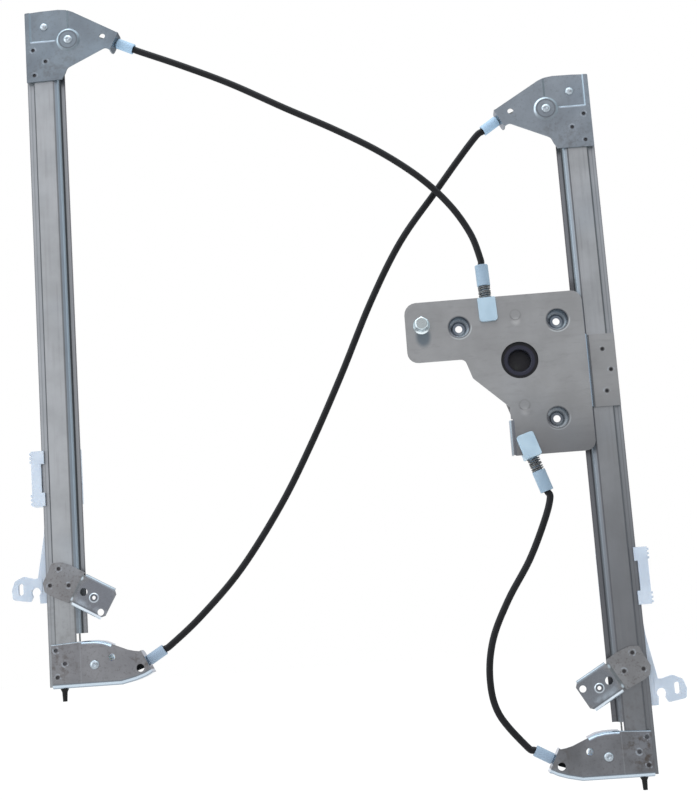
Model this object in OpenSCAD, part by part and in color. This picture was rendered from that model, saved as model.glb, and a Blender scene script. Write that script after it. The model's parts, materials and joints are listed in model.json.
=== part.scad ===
// Dual-rail cable window regulator for a vehicle door, without its motor.
// +X is to the right, +Z is up and the cabin side faces -Y.
// The origin is the centre of the motor hole, on the front face of the motor plate.
// Rail parts are drawn in a rail's own frame: u inwards from its centre line, y back from the
// front of its web, z up from its foot. The right rail's frame is the left one mirrored.

/* [Rails] */
// Length of each rail
rail_length = 560; // [520:5:600]
// Distance between the rails' centre lines
rail_spacing = 451; // [440:1:460]
// Height of the left rail's foot above the right rail's
rail_step = 100; // [90:1:110]
// Distance from the motor hole to the right rail's centre line
right_rail_x = 64; // [63:0.5:68]
// Height of the motor hole above the right rail's foot
motor_height = 338; // [320:1:350]
// Width over a rail's flanges
rail_width = 32; // [31:0.5:34]
// Sheet thickness of the rails
rail_sheet = 1.2; // [1:0.1:1.3]
// Width of the flat outer flange that the carrier grips
outer_flange = 6.4; // [6:0.1:6.8]
// Depth from the web's front to the outer flange's front
outer_step = 3; // [2.9:0.1:3.4]
// Depth from the web's front to the inner flange's front
inner_step = 6.5; // [6:0.1:6.8]

/* [Brackets] */
// Sheet thickness of the pressed brackets
bracket_sheet = 1.5; // [1.2:0.1:2]
// Depth of the brackets' end walls and flanges behind the web's front
flange_depth = 13; // [12.5:0.5:16]
// Outside radius of the bottom bracket's bends
bend_radius = 4; // [3:0.5:4.5]
// Diameter of the clinch dimples
clinch_d = 2.8; // [2:0.2:3.2]
// Depth of the clinch dimples
clinch_depth = 1; // [0.6:0.1:1.1]
// Rise of the pressed seat round the top pulley's axle
seat_rise = 1.2; // [0.8:0.1:1.5]
// Depth of the pressed pad round the top stud
pad_depth = 0.8; // [0.5:0.1:0.9]
// Diameter of the fixing holes in the bottom brackets
bracket_hole_d = 5.6; // [5:0.1:6]
// Diameter of the fixing holes in the side brackets
side_hole_d = 6.4; // [6:0.1:6.8]
// Rise of the side bracket's outer leaf in front of the rail
side_rise = 3; // [2.5:0.1:4]

/* [Pulleys] */
// Radius at which the cable runs on the guide pulleys
pulley_r = 13.5; // [13:0.1:14]
// Width of a pulley
pulley_w = 5.8; // [5:0.1:6.2]
// Diameter of the axle journal
journal_d = 8; // [7:0.5:9]
// Radial clearance of a pulley on its journal
journal_play = 0.05; // [0.03:0.01:0.08]
// Height of the bottom pulley above the rail's foot
low_pulley_z = 16; // [15.8:0.1:17]
// Drop of the top pulley below the rail's top
top_pulley_drop = 7; // [6:0.5:9]

/* [Cable] */
// Diameter of the drive cable
cable_d = 1.5; // [1.2:0.1:1.6]
// Outside diameter of the conduit
conduit_d = 5.7; // [5:0.1:5.8]
// Depth of the rail cables behind the web's front
cable_y = 8.5; // [8.4:0.1:8.8]

/* [Motor plate] */
// Sheet thickness of the motor plate
plate_sheet = 1.5; // [1.2:0.1:2]
// Depth of the joggle down to the right rail's web
plate_joggle = 5.5; // [5:0.1:6]
// Diameter of the motor hole
motor_hole_d = 30.6; // [28:0.2:34]
// Diameter of the motor screw holes
screw_hole_d = 5.9; // [5:0.1:6.4]
// Distance between the two upper motor screws
screw_spacing = 81; // [79:0.5:82]
// Height of the upper motor screws above the motor hole
screw_height = 31.5; // [31:0.5:34]
// Depth of the dishes round the motor screws
dish_depth = 9.5; // [7:0.5:11]

/* [Drum] */
// Radius at which the cable winds on the drum
drum_r = 21; // [20.5:0.1:21.2]
// Spacing of the turns on the drum
turn_pitch = 1.9; // [1.8:0.05:2]
// Wall of the drum housing
housing_wall = 2; // [1.5:0.1:3]
// Tilt of the upper cable from vertical
upper_tilt = 2.3; // [0:0.1:4]
// Tilt of the lower cable from vertical
lower_tilt = 18; // [16:0.5:19]

/* [Carriers] */
// Height of the left carrier's top above its rail's foot
left_carrier_z = 194.5; // [160:0.5:520]
// Height of the right carrier's top above its rail's foot
right_carrier_z = 178.8; // [160:0.5:500]
// Length of a carrier's sliding shoe
shoe_length = 46; // [44:1:52]
// Clearance between a carrier and its rail
slide_play = 0.3; // [0.2:0.05:0.4]
// Diameter of the glass pin's snap seat
glass_pin_d = 7.6; // [7:0.1:8]

/* [Hidden] */
$fn = 48;

zinc = [0.66, 0.69, 0.71];
bright_zinc = [0.80, 0.82, 0.83];
nylon = [0.86, 0.92, 0.98];
black = [0.07, 0.07, 0.08];
steel_wire = [0.42, 0.43, 0.44];

// A margin by which cutters pass through what they cut
through = 1;

// Places of the rails
web_y = plate_sheet + plate_joggle;
left_x = right_rail_x - rail_spacing;
right_foot = -motor_height;
left_foot = right_foot + rail_step;

// The rail's section
half_rail = rail_width / 2;
web_left = outer_flange - half_rail;
web_right = half_rail - 8.7;
rail_mid = rail_sheet / 2;
rail_section = rounded_path([
  [-half_rail, outer_step + rail_mid, 0],
  [web_left, outer_step + rail_mid, 1],
  [web_left, rail_mid, 1],
  [web_right, rail_mid, 1.5],
  [web_right + 2.7, rail_mid + 1.2, 1],
  [web_right + 4.8, inner_step + rail_mid, 1],
  [half_rail, inner_step + rail_mid, 0]
]);
// The web stops short of both ends, and the inner flange clears the pulleys
web_foot_gap = bend_radius - bracket_sheet + 1;
web_top_gap = 8.5;
inner_foot_gap = 42;
inner_top_gap = 29;

// The cable runs beside the web, and the pulleys are set from it
cable_r = cable_d / 2;
cable_u = web_right + 1.5;
pulley_u = cable_u + pulley_r;
top_pulley_z = rail_length - top_pulley_drop;
low_pulley = [pulley_u, low_pulley_z];
top_pulley = [pulley_u, top_pulley_z];
rim_r = pulley_r + 1.7;
groove_r = pulley_r - 1.1;
pulley_front = cable_y - pulley_w / 2;
pulley_back = cable_y + pulley_w / 2;
side_play = 0.1;
collar_r = 6.5;
neck_r = 3;
rivet_head_r = 3.8;
rivet_head_h = 1.8;

// Where the cables pass the brackets' end walls, and how the walls and the ferrules tilt
wall_tilt = 27;
low_exit = low_pulley + [42.1, -0.2];
top_exit = top_pulley + [40.3, -2.6];
left_top_tilt = 26;
right_top_tilt = 33;
left_low_tilt = 31;
right_low_tilt = 29;
ball_r = 3.6;
ferrule_r = 4.5;
ferrule_gap = 1.4;
ferrule_length = 16.5;
conduit_r = conduit_d / 2;
conduit_seat = 6;
conduit_play = 0.15;
cable_play = 0.4;

// The carriers
shoe_back = flange_depth;
lug_back = outer_step - slide_play;
shoe_front = outer_step + rail_sheet + slide_play;
bar_edge = -half_rail - slide_play;
shoe_edge = -half_rail - 8.5;
keel_edge = web_right - 1.7;
lug_length = 11;
nipple_r = 2.2;
nipple_length = 8;
carrier_wall = 5;
glass_pin = [-half_rail - 9.2, -shoe_length - 70.5];

// The bumpers
bumper_u = -5;
bumper_y = 7;
bumper_r = 4.4;
bumper_height = 16;
bumper_tail = 12;
tail_r = 2.2;

// The motor plate
plate_left = -91.7;
plate_right = right_rail_x - 8.7;
plate_top = 54.8;
plate_bottom = -78.7;
plate_step_x = -11.5;
tab_top = 17.5;
tab_bottom = -43;
screw_left = -47.4;
motor_screws = [
  [screw_left, screw_height],
  [screw_left + screw_spacing, screw_height],
  [26.8, -49.7]
];
bosses = [[-0.4, 38.1], [0.6, -37.5]];
boss_r = 4.2;
boss_rise = 0.6;
bolt_place = [-78.2, 34.9];
bolt_r = 3;
stud_r = 3;
stud_place = [1.1, rail_length + 7];

// The drum and its housing
upper_turn = -upper_tilt;
lower_turn = 180 - lower_tilt;
drum_front = plate_sheet + 1.1;
feed_y = [for (i = [0:3]) 5 + i * turn_pitch];
upper_y = feed_y[1];
lower_y = feed_y[2];
drum_back = feed_y[3] + 2.3;
flange_r = drum_r + 2.3;
cup_r = drum_r + 3.5;
cup_back = drum_back + 0.8;
hub_r = 10;
hub_play = 0.05;
feed_start = 9;

// The cable outlets, along each feed cable from where it leaves the drum
upper_block_start = 35.2;
lower_block_start = 57.8;
block_length = 20;
block_half = 7.4;
outlet_half = 5;
block_front = -2.8;
block_back = cup_back;
arm_half = 2.4;
spring_length = 11.5;
spring_r = 4.6;
wire_r = 0.65;
spring_turns = 6;
sleeve_length = 18;
sleeve_r = 5.5;
neck_out_r = 3.5;
neck_play = 0.1;
neck_length = 8;
sleeve_seat = 9;

// Conduit routes, chosen by hand, each between its two ends
upper_route = [
  [-268, 15, 286], [-226, 14, 265], [-180, 12, 238], [-138, 10, 214], [-101, 8, 190],
  [-69, 7, 164], [-46, 7, 138], [-31, 7, 112]
];
cross_route = [
  [-277, 16, -189], [-242, 17, -153], [-206, 18, -103], [-178, 18, -55], [-149, 18, 1],
  [-119, 18, 63], [-90, 18, 113], [-57, 18, 154], [-34, 17, 182]
];
lower_route = [
  [9, 9, -132], [-6, 9, -163], [-26, 10, -194], [-41, 11, -225], [-46, 13, -256],
  [-41, 15, -284]
];

function unit(v) = v / norm(v);
function across(v) = [-v.y, v.x];
function reverse(p) = [for (i = [len(p) - 1:-1:0]) p[i]];
function last(p) = p[len(p) - 1];

// The direction in which a wall's side leaves point i of a path, scaled to keep the wall even
function mitre(p, i) =
  let (
    n = len(p) - 1,
    ahead = across(unit(p[min(i + 1, n)] - p[min(i, n - 1)])),
    behind = across(unit(p[max(i, 1)] - p[max(i - 1, 0)])),
    m = unit(ahead + behind)
  ) m / (m * ahead);
function side(p, d) = [for (i = [0:len(p) - 1]) p[i] + mitre(p, i) * d];
function strip(p, t) = concat(side(p, t / 2), reverse(side(p, -t / 2)));

// The arc that rounds corner b, between a and c, in steps of about 22 degrees
function corner(a, b, c, r) =
  r == 0 ? [b] :
  let (
    u = unit(a - b),
    v = unit(c - b),
    half = acos(u * v) / 2,
    centre = b + unit(u + v) * r / sin(half),
    first = b + u * r / tan(half) - centre,
    end = b + v * r / tan(half) - centre,
    start = atan2(first.y, first.x),
    turn = (atan2(end.y, end.x) - start + 540) % 360 - 180,
    n = max(2, ceil(abs(turn) / 22))
  ) [for (i = [0:n]) centre + r * [cos(start + turn * i / n), sin(start + turn * i / n)]];
function flat(p) = [p.x, p.y];
// Corners are given as [x, y, radius]
function rounded_path(p) = [
  for (i = [0:len(p) - 1])
    each corner(flat(p[max(i - 1, 0)]), flat(p[i]), flat(p[min(i + 1, len(p) - 1)]), p[i].z)
];
function rounded_loop(p) = [
  for (i = [0:len(p) - 1])
    each corner(flat(p[(i + len(p) - 1) % len(p)]), flat(p[i]), flat(p[(i + 1) % len(p)]), p[i].z)
];
function arc(centre, r, from, to, n) =
  [for (i = [0:n]) centre + r * [cos(from + (to - from) * i / n), sin(from + (to - from) * i / n)]];
function dome(r, h, n = 6) = [for (i = [0:n]) [r * cos(90 * i / n), -h * sin(90 * i / n)]];

// Points of a smooth curve through hand-set points, n steps between neighbours
function smooth(p, n) = concat([
  for (i = [0:len(p) - 2], k = [0:n - 1])
    let (
      a = i == 0 ? 2 * p[0] - p[1] : p[i - 1],
      b = p[i],
      c = p[i + 1],
      d = i == len(p) - 2 ? 2 * c - b : p[i + 2],
      t = k / n
    ) (2 * b + (c - a) * t + (2 * a - 5 * b + 4 * c - d) * t * t
      + (3 * b - a - 3 * c + d) * t * t * t) / 2
], [last(p)]);

// A round tube along 3-D points that never run along up, one polyhedron
module tube(p, r, sides = 8, up = [0, 1, 0]) {
  n = len(p);
  function along(i) = unit(p[min(i + 1, n - 1)] - p[max(i - 1, 0)]);
  rings = [
    for (i = [0:n - 1])
      let (
        t = along(i),
        a = unit(cross(t, up)),
        b = cross(t, a)
      ) for (k = [0:sides - 1]) p[i] + r * (a * cos(360 * k / sides) + b * sin(360 * k / sides))
  ];
  walls = [
    for (i = [0:n - 2], k = [0:sides - 1])
      let (next = (k + 1) % sides)
        [i * sides + k, (i + 1) * sides + k, (i + 1) * sides + next, i * sides + next]
  ];
  near = [for (k = [0:sides - 1]) k];
  far = [for (k = [sides - 1:-1:0]) (n - 1) * sides + k];
  polyhedron(rings, concat([near, far], walls), convexity = 6);
}

module on_left() {
  translate([left_x, web_y, left_foot]) children();
}
module on_right() {
  translate([right_rail_x, web_y, right_foot]) mirror([1, 0, 0]) children();
}
module on_rail(is_left) {
  if (is_left) on_left() children();
  else on_right() children();
}
// A drawing in the x-z plane, given thickness from y0 to y1
module face(y0, y1) {
  translate([0, y1, 0]) rotate([90, 0, 0]) linear_extrude(y1 - y0) children();
}
// A rod along y at point p
module rod(p, r, y0, y1) {
  translate([p.x, y0, p.y]) rotate([-90, 0, 0]) cylinder(h = y1 - y0, r = r);
}
// A body turned about the y axis through p, drawn as [radius, y]
module turned(p, outline) {
  translate([p.x, 0, p.y]) rotate([-90, 0, 0]) rotate_extrude() polygon(outline);
}
// A section, drawn as [distance outwards, y], pressed along an edge from a to b, outside on its right
module straight_edge(a, b, section) {
  run = b - a;
  translate([a.x, 0, a.y]) rotate([0, atan2(run.x, run.y), 0])
    linear_extrude(norm(run)) polygon(section);
}
// The same along a path of several edges, with mitres between them
module pressed_edge(path, section) {
  sides = len(section);
  ends = len(path) - 1;
  rings = [
    for (i = [0:ends], q = section)
      let (p = path[i] - mitre(path, i) * q.x) [p.x, q.y, p.y]
  ];
  walls = [
    for (i = [0:ends - 1], k = [0:sides - 1])
      let (next = (k + 1) % sides)
        [i * sides + k, (i + 1) * sides + k, (i + 1) * sides + next, i * sides + next]
  ];
  near = [for (k = [0:sides - 1]) k];
  far = [for (k = [sides - 1:-1:0]) ends * sides + k];
  polyhedron(rings, concat([near, far], walls), convexity = 6);
}
// The section of a bend and its flange, in a sheet t thick whose front face is at front
function bend_section(front, t, r, depth) = concat(
  [[-r - through, front]],
  arc([-r, front + r], r, -90, 0, 5),
  [[0, depth], [-t, depth]],
  arc([-r, front + r], r - t, 0, -90, 5),
  [[-r - through, front + t]]
);
// The section of an edge that is only rolled over in front
function rolled_section(front, t) = concat(
  [[-t - through, front]],
  arc([-t, front + t], t, -90, 0, 4),
  [[-t - through, front + t]]
);
module clinches(points, front) {
  for (p = points) rod(p, clinch_d / 2, front - through, front + clinch_depth);
}

module rail(is_left) {
  color(zinc) on_rail(is_left) difference() {
    linear_extrude(rail_length) polygon(strip(rail_section, rail_sheet));
    rail_end_cut(web_left - 2.6, -through, web_foot_gap);
    rail_end_cut(web_right + 0.5, -through, inner_foot_gap);
    rail_end_cut(web_left - 1.6, rail_length - web_top_gap, rail_length + through);
    rail_end_cut(web_right + 0.5, rail_length - inner_top_gap, rail_length + through);
  }
}
// Everything inwards of u is taken off between two heights
module rail_end_cut(u, z0, z1) {
  translate([u, -through, z0]) cube([rail_width, inner_step + 2 * rail_sheet + 2 * through, z1 - z0]);
}

// The space behind the top bracket's front face: its seat stands forward, its pad is sunk
module top_bracket_form() {
  front = -bracket_sheet;
  slope = 1;
  pad_left = web_left - 2;
  pad_right = pulley_u + 0.5;
  pad_foot = top_pulley_z + 0.2;
  difference() {
    face(front, flange_depth) translate([0, rail_length]) square(200, center = true);
    intersection() {
      linear_extrude(2 * rail_length) polygon([
        [pad_left, front - through], [pad_left, front], [pad_left + slope, front + pad_depth],
        [pad_right - slope, front + pad_depth], [pad_right, front], [pad_right, front - through]
      ]);
      rotate([90, 0, 90]) translate([0, 0, -half_rail]) linear_extrude(2 * rail_width + 10) polygon([
        [front - through, pad_foot], [front, pad_foot], [front + pad_depth, pad_foot + slope],
        [front + pad_depth, 2 * rail_length], [front - through, 2 * rail_length]
      ]);
    }
  }
  turned(top_pulley, [
    [0, front - seat_rise], [8.6, front - seat_rise], [10.4, front], [10.4, front + pad_depth + through],
    [0, front + pad_depth + through]
  ]);
}
module end_wall(at, tilt, below, above, low_corner = 4) {
  high_corner = 4;
  difference() {
    translate([at.x, 0, at.y]) rotate([0, tilt, 0]) translate([-bracket_sheet / 2, 0, 0])
      rotate([90, 0, 90]) linear_extrude(bracket_sheet) polygon(rounded_loop([
        [-bracket_sheet, -below, 0], [-bracket_sheet, above, 0],
        [flange_depth, above, high_corner], [flange_depth, -below, low_corner]
      ]));
    translate([at.x, cable_y, at.y]) rotate([0, 90 + tilt, 0]) {
      cylinder(h = 4 * bracket_sheet, r = ball_r, center = true);
      translate([-2.6, 0, -2 * bracket_sheet]) cube([5.2, flange_depth, 4 * bracket_sheet]);
    }
  }
}
module top_bracket(is_left) {
  top = rail_length;
  low = top - 43;
  outline = rounded_loop([
    [0.6 - half_rail, low, 0], [half_rail - 0.8, low + 0.4, 1], [half_rail + 2.4, low + 5.5, 0],
    [half_rail + 4.4, low + 10.6, 5], top_point(32, -9.7, 4), top_point(36, -12.2, 1),
    top_point(43, 3, 0), top_point(39, 5.4, 0), top_point(-1.3, 29, 25),
    [-2, top + 21.6, 0], [0.6 - half_rail, top + 20.7, 1]
  ]);
  dimples = [[web_left + 0.6, top - 14], [1.6, top - 25], [web_left + 1.1, top - 37]];
  color(zinc) on_rail(is_left) difference() {
    union() {
      intersection() {
        face(-2 * flange_depth, flange_depth) polygon(outline);
        difference() {
          top_bracket_form();
          translate([0, bracket_sheet, 0]) top_bracket_form();
        }
      }
      end_wall(top_exit, wall_tilt, 10, 6.4);
    }
    clinches(dimples, -bracket_sheet);
    rod(top_pulley, neck_r, -flange_depth, flange_depth);
    rod(stud_place, stud_r, -flange_depth, flange_depth);
    rod(top_pulley + [29.9, 0.7], 2.55, -flange_depth, flange_depth);
  }
}
// A corner of the top bracket, set from its pulley, with its radius
function top_point(du, dz, r) = [top_pulley.x + du, top_pulley.y + dz, r];

module bottom_bracket(is_left) {
  front = -bracket_sheet;
  left_end = 3.2 - half_rail;
  wall_along = [-sin(wall_tilt), cos(wall_tilt)];
  wall_low = low_exit - wall_along * 10.4;
  wall_high = low_exit + wall_along * 9.9;
  floor_edge = [
    [left_end - through, front], [pulley_u + 21.5, front], low_pulley + [33, -15],
    low_pulley + [40.5, -12.6], wall_low
  ];
  roof_edge = [
    low_pulley + [14.9, 15.6], low_pulley + [8, 18.6], low_pulley + [1.2, 19.6],
    low_pulley + [-6.3, 19.8], [cable_u + 3, low_pulley.y + 19.6]
  ];
  rolled_edge = [last(roof_edge), [left_end - through, low_pulley.y + 18.2]];
  lap = through / 2;
  plain = concat(
    side(floor_edge, bend_radius + lap),
    [wall_high - [0, 0.4], low_pulley + [32.5, 9], low_pulley + [27.5, 10.3], roof_edge[0]],
    side(roof_edge, bend_radius + lap), side(rolled_edge, bracket_sheet + lap)
  );
  bend = bend_section(front, bracket_sheet, bend_radius, flange_depth);
  color(zinc) on_rail(is_left) difference() {
    union() {
      face(front, 0) polygon(plain);
      pressed_edge(floor_edge, bend);
      pressed_edge(roof_edge, bend);
      straight_edge(rolled_edge[0], rolled_edge[1], rolled_section(front, bracket_sheet));
      end_wall(low_exit, -wall_tilt, 10.4, 9.9, 0);
    }
    face(-flange_depth, flange_depth + through) translate([left_end - 5, -5]) square([5, 50]);
    clinches([[web_left + 0.6, 29.5], [-2, 18.5], [web_left + 1.2, 7.8]], front);
    rod(low_pulley, neck_r, -flange_depth, flange_depth);
    rod(low_pulley + [14.4, 5], bracket_hole_d / 2, -flange_depth, through);
    rod(low_pulley + [37.4, -5], side_hole_d / 2, -flange_depth, through);
    translate([bumper_u, bumper_y, -flange_depth]) cylinder(h = flange_depth + through, r = tail_r);
  }
}
// The side bracket: one leaf on the web, the other stepped forward and turned down 30 degrees
module side_bracket(is_left) {
  front = -bracket_sheet;
  hinge = [10, 79];
  turn = 30;
  leaf_low = -14.2;
  leaf_high = 13.8;
  leaf_end = 32.6;
  rim_low = 2.8;
  rim_high = 1.9;
  lip = 4;
  far_front = front - side_rise;
  fixing = is_left ? [27.8, -8.5] : [28.6, 6.1];
  web_leaf = rounded_loop([
    [-10.1, 100.6, 2], [-2.1, 100.8, 2], [7.8, 96.8, 2], [17.2, 91.1, 0], [3.1, 66.9, 1],
    [-12.1, 74.1, 2], [-16.6, 77.4, 2], [-17.8, 84.8, 2], [-12.3, 95, 2]
  ]);
  step = [[-4, front / 2], [0, front / 2], [2.6, far_front - front / 2], [leaf_end, far_front - front / 2]];
  cut = 3;
  leaf = [
    [-5, leaf_low + rim_low], [2, leaf_low + rim_low], [leaf_end - cut, leaf_low + rim_low - 1],
    [leaf_end, leaf_low + rim_low + cut - 1], [leaf_end, leaf_high - rim_high - cut + 1],
    [leaf_end - cut, leaf_high - rim_high + 1], [2, leaf_high - rim_high], [-5, leaf_high - rim_high]
  ];
  color(zinc) on_rail(is_left) difference() {
    union() {
      face(front, 0) polygon(web_leaf);
      translate([hinge.x, 0, hinge.y]) rotate([0, turn, 0]) {
        intersection() {
          translate([0, 0, leaf_low]) linear_extrude(leaf_high - leaf_low)
            polygon(strip(step, bracket_sheet));
          face(-flange_depth, flange_depth) polygon(leaf);
        }
        straight_edge([2.6, leaf_low], [leaf_end - cut, leaf_low],
          bend_section(far_front, bracket_sheet, rim_low, far_front + lip));
        straight_edge([leaf_end - cut, leaf_high], [2.6, leaf_high],
          bend_section(far_front, bracket_sheet, rim_high, far_front + lip));
        turned([17.4, -0.5], [
          [1.6, far_front - 0.5], [3.1, far_front - 0.5], [3.8, far_front], [3.8, far_front + 1],
          [1.6, far_front + 1]
        ]);
      }
    }
    clinches([[-4.2, 95.6], [-11.8, 82.4], [3.7, 81.5]], front);
    translate([hinge.x, 0, hinge.y]) rotate([0, turn, 0]) {
      rod([7.6, -0.1], side_hole_d / 2, -flange_depth, flange_depth);
      rod([17.4, -0.5], 1.6, -flange_depth, flange_depth);
      rod(fixing, bracket_hole_d / 2, -flange_depth, flange_depth);
    }
  }
}

// A stud pressed into the sunk pad, with its shank towards the door's inner skin
module top_stud(is_left) {
  front = pad_depth - bracket_sheet;
  end = flange_depth + 4;
  collar = 1.2;
  chamfer = 0.6;
  color(bright_zinc) on_rail(is_left) turned(stud_place, concat([
    [0, end], [stud_r - chamfer, end], [stud_r, end - chamfer], [stud_r, pad_depth + collar],
    [stud_r + 2, pad_depth + collar], [stud_r + 2, pad_depth], [stud_r, pad_depth], [stud_r, front]
  ], [for (q = dome(stud_r + 0.4, 2)) q + [0, front]]));
}
// A shoulder rivet: its head stands in front of the sheet and the pulley turns behind it
module axle(is_left, p, front) {
  back = front + bracket_sheet;
  journal_r = journal_d / 2;
  head = 1.4;
  color(bright_zinc) on_rail(is_left) turned(p, concat([
    [0, pulley_back + side_play + head], [journal_r + 1.5, pulley_back + side_play + head],
    [journal_r + 1.5, pulley_back + side_play], [journal_r, pulley_back + side_play],
    [journal_r, pulley_front - side_play], [collar_r, pulley_front - side_play], [collar_r, back],
    [neck_r, back], [neck_r, front]
  ], [for (q = dome(rivet_head_r, rivet_head_h)) q + [0, front]]));
}
module pulley(is_left, p) {
  bore = journal_d / 2 + journal_play;
  lip = 0.9;
  half_groove = cable_r + 0.2;
  color(nylon) on_rail(is_left) difference() {
    turned(p, [
      [bore, pulley_front], [rim_r, pulley_front], [rim_r, pulley_front + lip],
      [groove_r, cable_y - half_groove], [groove_r, cable_y + half_groove],
      [rim_r, pulley_back - lip], [rim_r, pulley_back], [bore, pulley_back]
    ]);
    for (a = [0:60:300])
      rod(p + (groove_r + bore) / 2 * [cos(a), sin(a)], 2.2, pulley_front - through, pulley_back + through);
  }
}
// A conduit end: a ball seated in the end wall, a head inside and a sleeve outside
module ferrule(is_left, at, tilt) {
  head = 2;
  entry_r = cable_r + 1.1;
  color(nylon) on_rail(is_left) translate([at.x, cable_y, at.y]) rotate([0, 90 + tilt, 0]) difference() {
    union() {
      sphere(r = ball_r);
      translate([0, 0, -ferrule_gap - head]) cylinder(h = head, r = ferrule_r - 0.1);
      translate([0, 0, ferrule_gap]) cylinder(h = ferrule_length - ferrule_gap, r = ferrule_r);
    }
    translate([0, 0, -ferrule_length]) cylinder(h = 2 * ferrule_length, r = entry_r);
    translate([0, 0, conduit_seat]) cylinder(h = ferrule_length, r = conduit_r + conduit_play);
  }
}
// A rubber stop on the bottom bracket's floor, pulled through it by its tail
module bumper(is_left) {
  flare = 1.4;
  color(black) on_rail(is_left) translate([bumper_u, bumper_y, 0]) rotate_extrude() polygon([
    [0, -bumper_tail], [tail_r - 0.4, -bumper_tail], [tail_r, -bracket_sheet - 3],
    [tail_r + flare, -bracket_sheet], [tail_r, -bracket_sheet], [tail_r, 0], [bumper_r, 0],
    [bumper_r, bumper_height - 2], [bumper_r - 1.2, bumper_height], [0, bumper_height]
  ]);
}

// The tangent from a pulley to a bracket's exit; sense is 1 above the pulley and -1 below it
function exit_slope(p, at, sense) =
  atan2(at.y - p.y, at.x - p.x) - sense * asin(pulley_r / norm(at - p));
module rail_cable(is_left) {
  past = 3;
  steps = 9;
  low = exit_slope(low_pulley, low_exit, -1);
  high = exit_slope(top_pulley, top_exit, 1);
  path = concat(
    [low_exit + past * [cos(low), sin(low)]],
    arc(low_pulley, pulley_r, 270 + low, 180, steps),
    arc(top_pulley, pulley_r, 180, 90 + high, steps),
    [top_exit + past * [cos(high), sin(high)]]
  );
  color(steel_wire) on_rail(is_left) tube([for (q = path) [q.x, cable_y, q.y]], cable_r);
}

// A slab of a carrier between two distances below its top, drawn as [u, y]
module slice(from, to) {
  translate([0, 0, -to]) linear_extrude(to - from) children();
}
module box(u0, y0, u1, y1) {
  translate([u0, y0]) square([u1 - u0, y1 - y0]);
}
module shoe() {
  pad_front = inner_step + rail_sheet + slide_play;
  pad_left = web_right + 4.3;
  pad_right = half_rail - 0.5;
  bridge = shoe_back - 1.7;
  lug_front = 0.7;
  keel_left = web_left + rail_mid + slide_play + 0.1;
  tooth = 1.4;
  slice(0, shoe_length) {
    box(shoe_edge, shoe_front, keel_edge, shoe_back);
    box(shoe_edge, lug_front, bar_edge, shoe_front + through);
    box(keel_left, rail_sheet + 0.5, keel_edge, shoe_front + through);
    box(keel_edge - through, bridge, pad_right, shoe_back);
    box(pad_left, pad_front, pad_right, bridge + through);
  }
  for (z = [0, shoe_length - lug_length]) {
    slice(z, z + lug_length) box(shoe_edge, lug_front, bar_edge + 2.6, lug_back);
    for (k = [0:2])
      slice(z + 1.2 + 3.4 * k, z + 3 + 3.4 * k)
        box(shoe_edge - tooth, lug_front + 0.6, shoe_edge + through, shoe_back - 4);
  }
  for (z = [0, shoe_length - carrier_wall])
    slice(z, z + carrier_wall) box(keel_edge - through, shoe_front + 0.6, web_right + 2.9, bridge + through);
}
// The leg that drops from the shoe to the bumper, and the tab that holds the glass
module leg() {
  z = -shoe_length;
  leg_outline = [
    [2, z + 2], [-15, z + 2], [-17, z - 24], [-23.5, z - 60], [-22, z - 80], [-4, z - 80], [2, z - 74]
  ];
  tab_outline = rounded_loop([
    [-20, z - 59, 0], [-26.5, z - 59.5, 1], [-35.1, z - 57, 3], [-42.8, z - 60.5, 4],
    [-45.4, z - 68, 3], [-44.5, z - 75.8, 2.5], [-30.3, z - 78.2, 1], [-28.2, z - 74.2, 0.6],
    [glass_pin.x - glass_pin_d / 2 - 0.3, glass_pin.y, 0],
    [glass_pin.x + glass_pin_d / 2, glass_pin.y, 0], [-21, z - 72, 0.6], [-20, z - 72, 0]
  ]);
  face(5, 8) polygon(leg_outline);
  face(4.6, 8.6) polygon(tab_outline);
}
module carrier(is_left) {
  top = is_left ? left_carrier_z : right_carrier_z;
  hole = [-37.8, -shoe_length - 67.5];
  color(nylon) on_rail(is_left) translate([0, 0, top]) difference() {
    union() {
      shoe();
      leg();
    }
    translate([cable_u, cable_y, -shoe_length - through])
      cylinder(h = shoe_length + 2 * through, r = cable_r + cable_play);
    for (z = [4, shoe_length / 2 + 1.5]) for (u = [shoe_edge + 2, -7])
      translate([u, shoe_front + 2, -z - shoe_length / 2 + 5.5])
        cube([u < -10 ? 13 : 10, shoe_back, shoe_length / 2 - 5.5]);
    rod(glass_pin, glass_pin_d / 2, 0, shoe_back);
    face(0, shoe_back) polygon(rounded_loop([
      [hole.x - 2.2, hole.y - 4.8, 2], [hole.x + 2.2, hole.y - 4.8, 2],
      [hole.x + 2.2, hole.y + 4.8, 2], [hole.x - 2.2, hole.y + 4.8, 2]
    ]));
  }
}
module nipples(is_left) {
  top = is_left ? left_carrier_z : right_carrier_z;
  color(steel_wire) on_rail(is_left)
    for (z = [carrier_wall + nipple_length, shoe_length - carrier_wall])
      translate([cable_u, cable_y, top - z]) difference() {
        cylinder(h = nipple_length, r = nipple_r);
        translate([0, 0, -through]) cylinder(h = nipple_length + 2 * through, r = cable_r + cable_play);
      }
}

// The frames of the two feed cables: z along the cable from where it leaves the drum
module at_upper() {
  rotate([0, upper_turn, 0]) translate([-drum_r, 0, 0]) children();
}
module at_lower() {
  rotate([0, lower_turn, 0]) translate([drum_r, 0, 0]) children();
}
function feed_point(x, turn, y, s) = [x * cos(turn) + s * sin(turn), y, s * cos(turn) - x * sin(turn)];

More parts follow.
